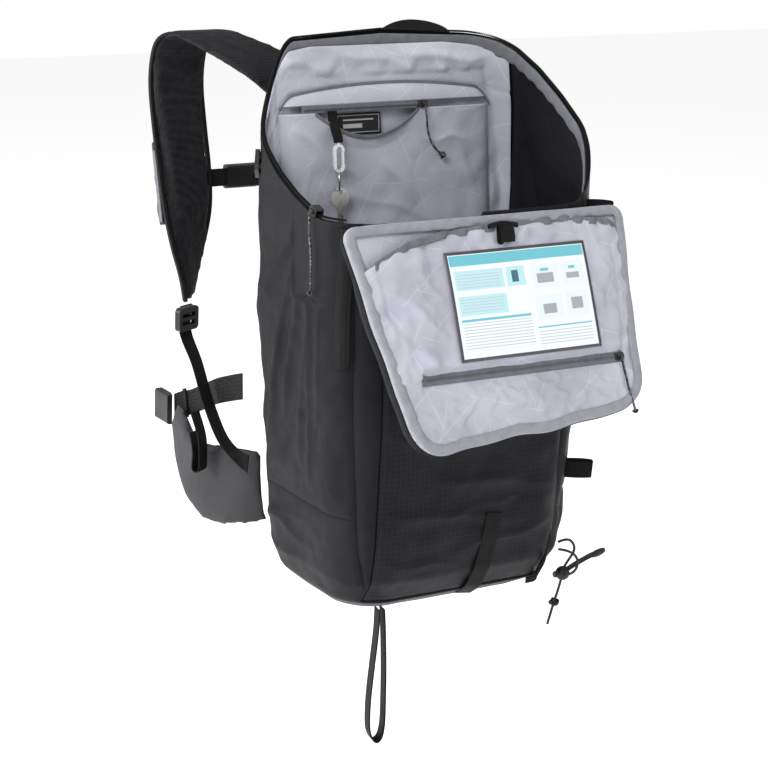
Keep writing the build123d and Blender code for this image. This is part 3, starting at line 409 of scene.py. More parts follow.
def stretch(name, side, span, low, top, lines, cols, rows, materials, bow=2.0):
    """One stretch of body cloth between two seams, up to height top, or to the mouth where top is None.
    The front and the back run right across the middle, so their side is 0."""
    def length_at(z, u):
        cuts = (0,) + seam_lengths(z)
        start, end = cuts[span[0] + 1], cuts[span[1] + 1]
        if side:
            return side, start + (end - start) * u, min(u, 1 - u) * (end - start)
        if span[0] < 0:
            away = (2 * u - 1) * end
            return (1 if away > 0 else -1), abs(away), end - abs(away)
        away = (2 * u - 1) * (end - start)
        return (1 if away > 0 else -1), end - abs(away), end - start - abs(away)

    def place(u, v):
        high = 450 if top is None else top
        if top is None:
            for _ in range(4):
                half, length, _ = length_at(high, u)
                high = mouth_height(wall_point(high, length, 0, half)[0].y, half) - 1
        z = low + (high - low) * v
        half, length, edge = length_at(z, u)
        edge = min(edge, z - low + 1, 99 if top is None else top - z + 1)
        puff = bow * min(1, edge / 30) - 1.6 * math.exp(-(edge / 4) ** 2)
        fade = min(1, edge / 10) * (min(1, (high - z) / 22) if top is None else 1)
        fold = creases(half * length, z, lines)
        fold += cloth_noise(length * half, 0, z, 46, 2.6, 3) + cloth_noise(length * half, 0, z, 17, 0.9, 9)
        proud = puff + fold * fade
        if half < 0 and length < 232 and z > 335:
            proud = min(proud, 3.0)        # the mouth slider's pull hangs here
        return at(*wall_point(z, length, proud, half)[0])
    return sheet_from(name, cols, rows, place, 1.8, (180, 330), materials)


FRONT, CORNER, SIDE, BACK = (-1, 0), (0, 1), (1, 2), (2, 3)
dark_cloth = (satin_cloth, inner_dark)
rip_cloth = (ripstop, inner_dark)
body_part("front_cloth", "front_panel",
          [stretch("front_a", 0, FRONT, BASE_TOP, None, FRONT_FOLDS, 90, 150, rip_cloth, 2.5)])
body_part("corner_cloth", "corner_gussets",
          [stretch("corner_a", s, CORNER, BASE_TOP, None, [], 16, 150, rip_cloth, 1.2) for s in (-1, 1)])
body_part("left_side_cloth", "side_panel_left",
          [stretch("left_a", -1, SIDE, LOWER_SEAM, None, LEFT_FOLDS, 90, 170, dark_cloth, 3)])
body_part("right_side_cloth", "side_panel_right",
          [stretch("right_a", 1, SIDE, LOWER_SEAM, None, RIGHT_FOLDS, 80, 170, dark_cloth, 3)])
body_part("lower_side_cloth", "lower_side_panels",
          [stretch("low_a", s, SIDE, BASE_TOP, LOWER_SEAM, LOW_FOLDS, 80, 50, rip_cloth, 3) for s in (-1, 1)])
body_part("back_cloth", "back_shell",
          [stretch("back_a", 0, BACK, BASE_TOP, None, [], 110, 150, dark_cloth, 0.5)])


# ------------------------------------------------------------------------ base cloth
# The base is a shallow tray of the same ripstop, sewn to the walls a finger above the floor.
def base_place(u, v):
    turn = u * math.tau
    half = 1 if math.sin(turn) >= 0 else -1
    along = (0.5 - abs(u - 0.5)) * 2
    level = min(1, v * 1.6)
    z = BASE_TOP * max(0, (v - 0.62) / 0.38)
    total = seam_lengths(z)[3]
    point = wall_point(z, along * total, -0.8, half if along not in (0, 1) else 1)[0]
    centre = Vector((0, -10, z))
    point = centre + (point - centre) * level
    point.z += 1.2 + cloth_noise(point.x, point.y, 0, 40, 1.5, 4) * (1 - v)
    return at(*point)


base = sheet_from("base_cloth", 120, 24, base_place, 0, (300, 200), rip_cloth)
close_seam(base)
thicken(base, 1.4, 1)
body_part("base_cloth", "base_panel", [base])


# ---------------------------------------------------------------------- ribbon pieces
# Webbing, bindings and zip tapes are flat woven ribbons: each is laid along a route with
# its width direction given, rounded at the edges, and carries its own weave along its length.
def smooth_route(points, steps):
    """Catmull-Rom line through points of any length, with steps spans between neighbours."""
    out = []
    for index in range(len(points) - 1):
        p0, p1 = points[max(index - 1, 0)], points[index]
        p2, p3 = points[index + 1], points[min(index + 2, len(points) - 1)]
        for step in range(steps):
            t = step / steps
            out.append([0.5 * (2 * b + (c - a) * t + (2 * a - 5 * b + 4 * c - d) * t * t
                               + (3 * b - a - 3 * c + d) * t ** 3) for a, b, c, d in zip(p0, p1, p2, p3)])
    out.append(list(points[-1]))
    return out


def ribbon(name, stations, thick, material, steps=8, cols=6):
    """A woven ribbon through stations (x, y, z, across x, across y, across z, width) in pack millimetres."""
    line = smooth_route([list(s) for s in stations], steps)
    run = sum((Vector(b[:3]) - Vector(a[:3])).length for a, b in zip(line, line[1:]))
    rows = len(line) - 1

    def place(u, v):
        row = line[round(v * rows)]
        across = Vector(row[3:6]).normalized() * row[6]
        return at(*(Vector(row[:3]) + across * (u - 0.5)))
    piece = sheet_from(name, cols, rows, place, thick, (stations[0][6], run), (material,), offset=0)
    edge = piece.modifiers.new("edge", "BEVEL")
    edge.width, edge.segments, edge.angle_limit = thick / 3000, 2, math.radians(60)
    bpy.ops.object.modifier_apply(modifier="edge")
    return piece


def webbing_material(name, dark, light, rib=1.6, rough=0.6):
    """Polyester webbing: a herringbone of ribs across its width."""
    web, tree, shader, where = new_material(name)
    across, along = split_axes(tree, where["UV"])
    slant = math_node(tree, "ADD", along, math_node(tree, "PINGPONG", across, 2.2))
    ribs = math_node(tree, "SINE", math_node(tree, "MULTIPLY", slant, math.tau / rib))
    fine = pattern(tree, marks, where["Object"])["Fine"]
    two_tones(tree, shader, math_node(tree, "MULTIPLY_ADD", ribs, 0.3, fine), 0.1, dark, 0.95, light)
    uneven_rough(tree, shader, fine, 0.2, rough)
    shader.inputs["Specular IOR Level"].default_value = 0.12
    relief(tree, ribs, 0.0004, 0.6, shader)
    return web


black_web = webbing_material("black_webbing", (0.0025, 0.0025, 0.003), (0.012, 0.012, 0.013))
# this grey is the bindings' own colour; on the trigger sleeve's zip it is painted highlight
grey_tape_and_glint = webbing_material("grey_binding", (0.12, 0.125, 0.14), (0.22, 0.225, 0.245), 1.2)
zip_cloth = webbing_material("zip_tape", (0.003, 0.003, 0.003), (0.010, 0.010, 0.011), 1.0, 0.5)


MOUTH_FRONT = -94


def mouth_line(side, out, drop):
    """Stations along the mouth's edge on one half, out mm proud of the wall and drop mm under the edge."""
    line = []
    height, turns = 425.0, 240
    for step in range(turns + 1):
        # walk round the outline from the front corner to the back's middle
        part = step / turns
        for _ in range(5):
            cuts = seam_lengths(height)
            length = cuts[1] - 6 + (cuts[3] - cuts[1] + 6) * part
            point, normal = wall_point(height, length, out, side)
            height = mouth_height(wall_point(height, length, 0, side)[0].y, side)
            height += 7 * max(0, 1 - abs(point.x) / 120) * max(0, (point.y - 80) / 20)
        point.z = height - drop
        if point.y >= MOUTH_FRONT:
            line.append((point, normal))
    return line


# ---------------------------------------------------------------------- mouth zip
# A coil zip runs round the mouth: its tape is sewn outside the edge and the moulded
# coil stands on the edge itself. Inside, the raw seam hides under a soft grey binding.
def rim_strip(name, side, low, high, out, material, thick=1.2, waver=0.0, cols=4):
    upper, lower = mouth_line(side, out, high), mouth_line(side, out, low)
    count = min(len(upper), len(lower)) - 1

    def place(u, v):
        index = round(v * count)
        a, b = lower[index][0], upper[index][0]
        ripple = waver * math.sin(index * 0.55) * (1 - u)
        swell = lower[index][1] * (math.sin(u * math.pi) * abs(waver) * 0.8)
        return at(*(a + (b - a) * u + Vector((0, 0, ripple)) + swell * (-1 if out < 0 else 1)))
    return sheet_from(name, cols, count, place, thick, (12, 620), (material,), offset=0)


def mesh_piece(name, points, faces, material):
    """A closed piece made straight from its points and faces."""
    mesh = bpy.data.meshes.new(name)
    mesh.from_pydata(points, [], faces)
    mesh.materials.append(material)
    piece = bpy.data.objects.new(name, mesh)
    bpy.context.collection.objects.link(piece)
    close_seam(piece)
    return piece


def teeth(name, line, up, material, scale=1.0, pitch=1.9):
    """Zip teeth: one moulded tooth, repeated along a line of (point, across), standing towards up."""
    faces, points = [], []
    carry = 0.0
    for (a, n), (b, _) in zip(line, line[1:]):
        run = (b - a).length
        while carry < run:
            spot = a + (b - a) * (carry / run)
            along = (b - a).normalized()
            rise = n.cross(along).normalized()
            if rise.dot(up) < 0:
                rise = -rise
            first = len(points)
            for da in (-0.62, 0.62):
                for dn, dr in ((-1.9, 0), (-1.5, 1.5), (0, 2.1), (1.5, 1.5), (1.9, 0)):
                    points.append(at(*(spot + (along * da + n * dn + rise * dr) * scale)))
            for k in range(4):
                faces.append((first + k, first + k + 1, first + k + 6, first + k + 5))
            faces.append((first + 4, first, first + 5, first + 9))
            faces.append(tuple(first + k for k in range(4, -1, -1)))
            faces.append(tuple(first + 5 + k for k in range(5)))
            carry += pitch
        carry -= run
    row = mesh_piece(name, points, faces, material)
    row.data.uv_layers.new(name="UVMap")
    return row


rim_parts = []
for side in (-1, 1):
    rim_parts += [rim_strip("rim_tape", side, 12, 0.5, 1.6, zip_cloth),
                  teeth("rim_teeth", mouth_line(side, -0.6, -0.4), Vector((0, 0, 1)), zip_cloth)]
body_part("mouth_zip", "rim_zip", rim_parts)
body_part("mouth_binding", "rim_binding",
          [rim_strip("rim_edge", s, 17, 2.4, -3.2, grey_tape_and_glint, 2.0, 0.9, 8) for s in (-1, 1)])


# -------------------------------------------------------------------- outside webbing
# Black webbing is bar-tacked onto the shell: a compression strap at the left back corner,
# two folded tabs on the right, the ice-axe sleeve low on the left and a strip on the front.
def wall_web(name, side, start, end, width, out=4.2):
    """Webbing that follows the wall between (length, height) pairs."""
    stations = []
    for step in range(9):
        part = step / 8
        length = start[0] + (end[0] - start[0]) * part
        height = start[1] + (end[1] - start[1]) * part
        point, normal = wall_point(height, abs(length), out, side if length * side >= 0 else -side)
        ahead, _ = wall_point(height + (end[1] - start[1]) * 0.05,
                              abs(length + (end[0] - start[0]) * 0.05), out, side)
        across = (ahead - point).cross(normal)
        stations.append((*point, *across.normalized(), width))
    return ribbon(name, stations, 1.6, black_web, 4)


def tab(name, x, y, z):
    """A folded tab of webbing that sticks out of the right front seam."""
    line = [(x - 14, y + 10, z), (x + 4, y - 2, z + 1), (x + 17, y - 9, z), (x + 19, y - 10.5, z - 1.2),
            (x + 17, y - 11, z - 2.2), (x + 2, y - 3.5, z - 2.4), (x - 13, y + 7.4, z - 2)]
    return ribbon(name, [(*p, 0.15, 0.1, 1, 18) for p in line], 1.5, black_web, 5)


body_part("outside_webbing", "outer_webbing", [
    wall_web("gear_strip", 1, (27, 104), (12, 5), 20, 4.6),
    wall_web("axe_sleeve", -1, (104, 68), (98, 5), 12, 4.4),
    wall_web("compression", -1, (375, 487), (330, 438), 18, 4.0),
    tab("upper_tab", 151, -97, 417), tab("lower_tab", 142, -101, 132),
])


# ------------------------------------------------------------------- front zip garage
# The front compartment's zip goes down the left front corner under a stiff dark flap.
GARAGE_FOOT, GARAGE_TALL = 273, 145


def garage_place(u, v):
    z = GARAGE_FOOT + GARAGE_TALL * v
    length = seam_lengths(z)[1] + 3 + 15 * u
    end = 1 - min(1, v * 12)
    rounded = math.sqrt(max(0, 1 - (2 * u - 1) ** 2)) if end > 0 else 1
    z += (1 - rounded) * 7 * end
    return at(*wall_point(z, length, 3.6 + 1.2 * math.sin(u * math.pi), -1)[0])


garage = sheet_from("front_zip_flap", 14, 90, garage_place, 1.4, (15, GARAGE_TALL), (zip_cloth,))
body_part("front_zip_flap", "front_zip", [garage])


# ---------------------------------------------------------------------- inside: lining
# The back of the compartment is lined with light grey printed nylon, loose enough to crease,
# that leans back to the mouth and is caught under the grey binding along its top.
LEAN, FOOT_Y, FOOT_Z = math.radians(6.65), 66, 330       # the angle, and the line it leans back about
LINING_LOW, LINING_GAP = 20, 3.6                         # its lower edge, and how far it keeps off the wall


def leaning(x, y, z):
    """A point drawn against an upright lining, turned back with it about its foot."""
    dy, dz = y - FOOT_Y, z - FOOT_Z
    return (x, FOOT_Y + dy * math.cos(LEAN) + dz * math.sin(LEAN),
            FOOT_Z - dy * math.sin(LEAN) + dz * math.cos(LEAN))


def back_wall(x, z, inset=0):
    """Depth of the pack's back wall at x and height z, inset mm inside it."""
    width, _, back, corner = between(SECTIONS, z)
    over = max(0, abs(x) - (width / 2 - corner))
    return back - corner + math.sqrt(max(0, (corner - inset) ** 2 - over ** 2))


def lining_depth(x, z):
    """Depth of the lining at x and height z: its leaning plane, or the wall where that comes first."""
    return min(FOOT_Y + max(0, z - FOOT_Z) * math.tan(LEAN), back_wall(x, z, LINING_GAP))


LINING_FOLDS = [(-140, 560, -60, 548, 5, 2.6), (-60, 566, 40, 548, 6, 2.4), (30, 560, 135, 552, 5, 2.8),
                (-130, 540, -140, 440, 5, 2.2), (70, 545, 120, 470, 6, 3.2), (125, 540, 100, 420, 5, 2.6),
                (-20, 570, 60, 562, 4, 1.8), (90, 560, 138, 500, 4, 2.4)]


LINING_CROWN = [(-160, 544), (-137, 560), (-114, 569), (-78, 575), (-17, 577), (59, 575), (111, 569), (144, 563),
                (170, 556)]


def lining_place(u, v):
    width = between(SECTIONS, LINING_LOW + 540 * v)[0]
    x = (2 * u - 1) * (width / 2 - 7)
    crown = between(LINING_CROWN, x)[0]
    top = 540.0
    for _ in range(6):
        top = 0.5 * top + 0.5 * min(crown, mouth_height(back_wall(x, top), -1 if x < 0 else 1) - 7)
    z = LINING_LOW + (top - LINING_LOW) * v
    edge = min(1, min(u, 1 - u) * 12, (top - z) / 12) * (1 if z > 543 or abs(x) > 134 else 0.35)
    fold = creases(x, z, LINING_FOLDS) + cloth_noise(x, 3, z, 30, 3.4, 5) + cloth_noise(x, 3, z, 12, 1.0, 6)
    seam = 1.6 * math.exp(-((top - z - 45) / 2.2) ** 2)
    return at(x, lining_depth(x, z) - 1.5 - (2.6 + 1.6 * fold) * max(0, edge) + seam, z)


back_sheet = sheet_from("back_lining_cloth", 110, 190, lining_place, 0.7, (300, 550), (lining_grey,))
body_part("back_lining_cloth", "back_lining", [back_sheet])


# --------------------------------------------------------------- inside: organiser pocket
# A flat patch pocket of the same cloth is sewn on the lining. Its zip stands open in the
# middle, so the lower lip sags and shows a small woven label inside.
MOUTH_LEFT, MOUTH_RIGHT = -92, 36            # the open part of its zip
POCKET_LEFT, POCKET_WIDE, POCKET_LOW = -131, 264, 329
LIP_TOP, LIP_SAG, ZIP_TOP = 504.5, 27, 512.6
POCKET_FOLDS = [(-120, 490, -40, 430, 5, 2.2), (-30, 476, 30, 400, 5, 2.6), (60, 500, 110, 420, 6, 2.6),
                (-100, 460, -110, 370, 5, 2.0), (40, 470, 100, 470, 4, 1.8), (-60, 420, 60, 380, 6, 2.0)]


def lip(x):
    """Height of the lower lip's edge."""
    if MOUTH_LEFT < x < MOUTH_RIGHT:
        return LIP_TOP - LIP_SAG * (1 - ((x + 28) / 64) ** 2)
    return LIP_TOP


def pocket_y(x, z, top):
    edge = min(x + 131, 133 - x, z - 328, top - z)
    rise = 12.4 * (1 - math.exp(-max(0, edge) / 7))
    fold = creases(x, z, POCKET_FOLDS) * 0.7 + cloth_noise(x, 9, z, 24, 1.8, 2)
    return 64.4 - rise - max(-0.5, fold) * min(1, max(0, edge) / 12) * (1 if z < 500 else 0.3)


def pocket_low(u, v):
    x = POCKET_LEFT + POCKET_WIDE * u
    z = POCKET_LOW + (lip(x) - POCKET_LOW) * v
    slack = 4.5 * max(0, (LIP_TOP - lip(x)) / LIP_SAG) * max(0, 1 - (lip(x) - z) / 14)
    return at(*leaning(x, pocket_y(x, z, 540) - slack, z))


def arch(x):
    """Height of the pocket's rounded top edge."""
    return 534 - 12 * (x / 131) ** 2 - 14 * max(0, (abs(x) - 112) / 20) ** 2


def pocket_high(u, v):
    x = POCKET_LEFT + POCKET_WIDE * u
    z = ZIP_TOP + (arch(x) - ZIP_TOP) * v
    return at(*leaning(x, max(52, pocket_y(x, z, arch(x) + 1)), z))


low_sheet = sheet_from("organiser_low", 110, 110, pocket_low, 0.8, (POCKET_WIDE, 176), (lining_grey,))
high_sheet = sheet_from("organiser_high", 110, 14, pocket_high, 0.8, (POCKET_WIDE, 22), (lining_grey,))
arch_line = [(*leaning(x, 60, arch(x) - 1.5), 0, 0, 1, 5)
             for x in (POCKET_LEFT + POCKET_WIDE * k / 40 for k in range(41))]
lip_line = [(*leaning(x, pocket_y(x, lip(x), 540) - 5.2 * (LIP_TOP - lip(x)) / LIP_SAG - 0.6, lip(x) - 1),
             0, -0.1, 1, 4) for x in range(MOUTH_LEFT, MOUTH_RIGHT + 1, 4)]
body_part("organiser_cloth", "organiser_pocket", [
    low_sheet, high_sheet, ribbon("arch_binding", arch_line, 1.4, grey_tape_and_glint, 2),
    ribbon("lip_binding", lip_line, 1.2, grey_tape_and_glint, 2)])

zip_row = [(Vector(leaning(-106 + 152 * k / 30, 51.6, 508.7)), Vector((0, 0.116, 1))) for k in range(31)]
zip_tape_line = [(*leaning(-108 + 156 * k / 8, 53.2, 508.7), 0, 0.116, 1, 8.5) for k in range(9)]
body_part("organiser_zip_row", "organiser_zip", [
    ribbon("organiser_tape", zip_tape_line, 0.8, grey_tape_and_glint, 4),
    teeth("organiser_teeth", zip_row, Vector((0, -1, 0)), grey_tape_and_glint, 0.7, 1.6)])


def inside(tree, x, y, x0, x1, y0, y1):
    """1 within a rectangle of the piece's own millimetres, else 0."""
    spans = []
    for value, low, high in ((x, x0, x1), (y, y0, y1)):
        spans.append(math_node(tree, "MULTIPLY", math_node(tree, "GREATER_THAN", value, low),
                               math_node(tree, "LESS_THAN", value, high)))
    return math_node(tree, "MULTIPLY", *spans)


def over(tree, mask, below, colour):
    """The colour laid over the colour below wherever the mask is 1."""
    mix = tree.nodes.new("ShaderNodeMix")
    mix.data_type = "RGBA"
    tree.links.new(mask, mix.inputs[0])
    if isinstance(below, tuple):
        mix.inputs[6].default_value = (*below, 1)
    else:
        tree.links.new(below, mix.inputs[6])
    mix.inputs[7].default_value = (*colour, 1)
    return mix.outputs[2]


label_paint, label_tree, label_shader, label_where = new_material("woven_label")
lx, ly = split_axes(label_tree, label_where["UV"])
ink = math_node(label_tree, "SUBTRACT", inside(label_tree, lx, ly, 2, 54, 2, 21),
                inside(label_tree, lx, ly, 2.8, 53.2, 2.8, 20.2))
for bar in ((9, 47, 15, 16.6), (9, 33, 7, 11.5)):
    ink = math_node(label_tree, "MAXIMUM", ink, inside(label_tree, lx, ly, *bar))
stitches = pattern(label_tree, weave, label_where["UV"])["Threads"]
ink = math_node(label_tree, "MULTIPLY", ink, math_node(label_tree, "MULTIPLY_ADD", stitches, 0.1, 0.8))
label_tree.links.new(over(label_tree, ink, (0.01, 0.01, 0.011), (0.6, 0.6, 0.6)), label_shader.inputs["Base Color"])
label_shader.inputs["Roughness"].default_value = 0.7
relief(label_tree, stitches, 0.0002, 1, label_shader)


def label_place(u, v):
    return at(*leaning(-63 + 56 * u, 60 + math.sin(u * 3) * 0.8, 479 + 23 * v))


body_part("woven_label", None, [sheet_from("woven_label", 16, 8, label_place, 0.5, (56, 23), (label_paint,))])


# ------------------------------------------------------------------------------- lid
# The roof is a shallow soft tray of ripstop that hangs open from the front of the mouth,
# inside out: its lining, a big gathered pocket, faces the viewer. Drawn flat as (x across,
# y up towards the fold, z out of the inner face) and then tilted.
TILT = math.radians(22)
LID_CORNERS = [(-166, -2, 12), (-120, -236, 42), (158, -214, 34), (172, -2, 12)]      # x, y, radius
LID_MIDDLE, LID_ZIP_Y = Vector((10, -115)), -160


def on_lid(x, y, z):
    return (x, -116.5 + y * math.sin(TILT) - z * math.cos(TILT), 424 + y * math.cos(TILT) + z * math.sin(TILT))


def even_ring(points, count):
    """count points equally spaced round a closed line."""
    line = points + [points[0]]
    runs = [0.0]
    for a, b in zip(line, line[1:]):
        runs.append(runs[-1] + (b - a).length)
    out, index = [], 0
    for step in range(count):
        want = runs[-1] * step / count
        while runs[index + 1] < want:
            index += 1
        part = (want - runs[index]) / max(1e-6, runs[index + 1] - runs[index])
        out.append(line[index].lerp(line[index + 1], part))
    return out


def lid_outline(count):
    """Points equally spaced round the lid's rounded outline, starting at the fold's middle."""
    line = []
    for index, (x, y, radius) in enumerate(LID_CORNERS):
        here = Vector((x, y))
        back = (Vector(LID_CORNERS[index - 1][:2]) - here).normalized()
        ahead = (Vector(LID_CORNERS[(index + 1) % 4][:2]) - here).normalized()
        half = back.angle(ahead) / 2
        centre = here + (back + ahead).normalized() * radius / math.sin(half)
        start = here + back * radius / math.tan(half) - centre
        end = here + ahead * radius / math.tan(half) - centre
        sweep = math.atan2(start.x * end.y - start.y * end.x, start.dot(end))
        for step in range(17):
            turn = sweep * step / 16
            line.append(centre + Vector((start.x * math.cos(turn) - start.y * math.sin(turn),
                                         start.x * math.sin(turn) + start.y * math.cos(turn))))
    return even_ring([Vector((0, -2))] + line, count)


LID_COLS = 260
outline = lid_outline(LID_COLS)
inward = []
for index in range(LID_COLS):
    along = (outline[(index + 1) % LID_COLS] - outline[index - 1]).normalized()
    normal = Vector((-along.y, along.x))
    inward.append(normal if normal.dot(LID_MIDDLE - outline[index]) > 0 else -normal)


def rim_of_lid(u, inset):
    index = round(u * LID_COLS) % LID_COLS
    slack = 1.5 * math.sin(u * 44) + 1.1 * math.sin(u * 91 + 1)        # the soft edge isn't quite even
    return outline[index] + inward[index] * (inset + slack * math.sin(u * math.pi) ** 2)


def gap_to_edge(x, y):
    """Distance from a point of the lid's face to its nearest edge, with the corners rounded off."""
    gaps = []
    for (ax, ay, _), (bx, by, _) in zip(LID_CORNERS, LID_CORNERS[1:] + LID_CORNERS[:1]):
        gaps.append(abs((bx - ax) * (ay - y) - (ax - x) * (by - ay)) / math.hypot(bx - ax, by - ay))
    near = sorted(gaps)[:2]
    return max(0, near[0] - 13 * math.exp(-((near[1] - near[0]) / 14) ** 2) * math.exp(-near[0] / 26))


def pocket_top(x):
    """Height on the lid of the pocket's gathered top edge."""
    return between([(-170, -56), (-150, -46), (-99, -24), (-52, -15), (0, -13), (60, -11), (95, -10), (148, -17),
                    (180, -30)], x)[0]


def smooth_puff(x, y):
    """Height of the unwrinkled pocket, flat along its zip and low where the slider's pull is drawn along."""
    rise = 1.0 + 7.5 * (1 - math.exp(-gap_to_edge(x, y) / 24))
    zip_dent = math.exp(-((y - LID_ZIP_Y) / 9) ** 4) * (1 if x > -104 else 0)
    if y < LID_ZIP_Y:
        rise = min(rise, 1.5)
    return rise * (1 - zip_dent) - 1.3 * zip_dent


LID_FOLDS = [(-140, -60, -60, -130, 6, 3.2), (-120, -120, -50, -190, 7, 3.2), (-100, -40, -66, -90, 5, 2.6),
             (120, -40, 160, -130, 6, 2.8), (116, -90, 150, -60, 5, 2.6), (-40, -172, 110, -186, 5, 2.6),
             (-70, -210, 60, -196, 5, 2.4), (60, -176, 130, -200, 5, 2.4), (-110, -170, -90, -220, 6, 2.6),
             (-20, -158, 60, -150, 4, 1.8), (-134, -90, -110, -160, 5, 2.2)]


def pocket_height(x, y):
    """Height of the wrinkled pocket; it lies flat under the card, and its top edge is gathered."""
    card = 1 / (1 + math.exp(-min(x + 62, 114 - x, y + 150, -34 - y) / 3))
    fold = creases(x, y, LID_FOLDS) + cloth_noise(x, y, 1, 28, 4.2, 8) + cloth_noise(x, y, 1, 12, 1.7, 4)
    gap = gap_to_edge(x, y)
    near_zip = 1 - math.exp(-((y - LID_ZIP_Y) / 9) ** 4)
    fold *= 1.9 * (1 - card) * near_zip * min(1, gap / 14)
    if y < LID_ZIP_Y:
        return smooth_puff(x, y) - min(3.0, abs(fold))
    gather = 1.7 * math.sin(x / 3.4 + 1.5 * math.sin(x / 19)) * math.exp(-max(0, pocket_top(x) - y) / 15)
    seam = 2.0 * math.exp(-((gap - 19) / 2.4) ** 2) * (1 if y < -30 else 0)
    return smooth_puff(x, y) + fold + gather - seam


def lay_on_lid(name, cols, rows, place, thick, materials, closed=True):
    """A piece whose place(u, v) gives (x, y, z) on the flat lid; its weave follows x and y."""
    flat = {}

    def tilted(u, v):
        point = place(u, v)
        there = at(*on_lid(*point))
        flat[tuple(round(c, 6) for c in there)] = (point[0], point[1])
        return there
    piece = sheet_from(name, cols, rows, tilted, 0, (1, 1), materials)
    layer = piece.data.uv_layers[0].data
    for face in piece.data.polygons:
        for loop in face.loop_indices:
            corner = piece.data.vertices[piece.data.loops[loop].vertex_index].co
            layer[loop].uv = flat[tuple(round(c, 6) for c in corner)]
    if closed:
        close_seam(piece)
    thicken(piece, thick, 0)
    return piece


def lid_depth(y):
    return min(24, 2.4 + max(0, 4 - y) * 22 / 74)


def outer_place(u, v):
    if v < 0.4:
        down = v / 0.4
        point = rim_of_lid(u, 4 * down ** 5 - 1.0 * math.sin(down * math.pi))
        return point.x, point.y, 0.4 - (lid_depth(point.y) - 1.5 * down ** 6) * down
    inner = rim_of_lid(u, 4)
    part = ((v - 0.4) / 0.6) ** 0.9
    point = inner + (LID_MIDDLE - inner) * part
    ripple = cloth_noise(point.x, point.y, 4, 34, 2.0, 1) * min(1, part * 4)
    return point.x, point.y, 0.4 - lid_depth(point.y) + 1.5 * (1 - min(1, part * 4)) + max(-1, ripple)


body_part("lid_outer_cloth", "lid_shell",
          [lay_on_lid("lid_outer_cloth", LID_COLS, 44, outer_place, 0.9, rip_cloth)], "lid")


def inner_place(u, v):
    edge = rim_of_lid(u, 1.5)
    point = edge + (LID_MIDDLE - edge) * v
    fade = min(1, v * 6)
    return point.x, point.y, -0.6 - 1.6 * fade + cloth_noise(point.x, point.y, 2, 30, 1.4, 7) * fade


body_part("lid_lining_cloth", "lid_lining",
          [lay_on_lid("lid_lining_cloth", LID_COLS, 30, inner_place, 0.7, (lining_grey,))], "lid")

sides = [p for p in (rim_of_lid(k / LID_COLS, 2.0) for k in range(LID_COLS)) if p.y < pocket_top(p.x) - 1]
reach = round((sides[-1].x - sides[0].x) / 4)
sides += [Vector((x, pocket_top(x))) for x in
          (sides[-1].x + (sides[0].x - sides[-1].x) * k / reach for k in range(1, reach))]
pocket_ring, POCKET_MIDDLE = even_ring(sides, LID_COLS), Vector((10, -125))


def pocket_place(u, v):
    edge = pocket_ring[round(u * LID_COLS) % LID_COLS]
    point = edge + (POCKET_MIDDLE - edge) * v
    return point.x, point.y, pocket_height(point.x, point.y)


UP_LID = (0, math.sin(TILT), math.cos(TILT))
top_edge = [(*on_lid(x, pocket_top(x) - 1.5, pocket_height(x, pocket_top(x)) + 0.3), *UP_LID, 8)
            for x in range(-140, 163, 3)]
body_part("lid_pocket_cloth", "lid_pocket", [
    lay_on_lid("lid_pocket_cloth", LID_COLS, 70, pocket_place, 0.8, (lining_grey,)),
    ribbon("elastic_edge", top_edge, 1.6, grey_tape_and_glint, 2, 4)], "lid")


def binding_place(u, v):
    if v < 0.6:
        part = v / 0.6
        point = rim_of_lid(u, 9 * (1 - part) - 0.8 * part)
        z = 1.9 + 1.6 * math.sin(part * math.pi) + 0.5 * math.sin(u * 500) * (1 - part)
    else:
        point = rim_of_lid(u, -0.8 - 0.6 * math.sin((v - 0.6) / 0.4 * math.pi))
        z = 1.6 - 5.5 * (v - 0.6) / 0.4
    return point.x, point.y, z


pale_tape = webbing_material("pale_binding", (0.24, 0.245, 0.275), (0.38, 0.385, 0.425), 1.2)
body_part("lid_edge_binding", "lid_binding",
          [lay_on_lid("lid_edge_binding", LID_COLS, 12, binding_place, 1.2, (pale_tape,))], "lid")

lid_ring = [p for p in (rim_of_lid(k / LID_COLS, -1.4) for k in range(LID_COLS)) if p.y < -8]
INTO_LID = (0, -math.cos(TILT), math.sin(TILT))
ring_line = [(*on_lid(p.x, p.y, -6.8), *INTO_LID, 7) for p in lid_ring]
ring_teeth = [(Vector(on_lid(p.x, p.y, -3.4)), Vector(INTO_LID)) for p in lid_ring]
body_part("lid_edge_zip", "lid_zip", [
    ribbon("lid_zip_tape", ring_line, 1.2, zip_cloth, 1, 4),
    teeth("lid_zip_teeth", ring_teeth, Vector((0, 0, -1)), zip_cloth, 0.8)], "lid")

# the pocket's own zip, set in a narrow welt low on the lid
welt = [(*on_lid(x, LID_ZIP_Y, -0.4 if x > -100 else 2), *UP_LID, 12) for x in range(-104, 152, 8)]
welt_row = [(Vector(on_lid(x, LID_ZIP_Y, 0.0)), Vector(UP_LID)) for x in range(-102, 150, 6)]
body_part("lid_pocket_zip", None, [
    ribbon("welt_tape", welt, 0.8, grey_tape_and_glint, 2, 4),
    teeth("welt_teeth", welt_row, Vector((0, -1, 0.4)), grey_tape_and_glint, 0.62, 1.5)], "lid")


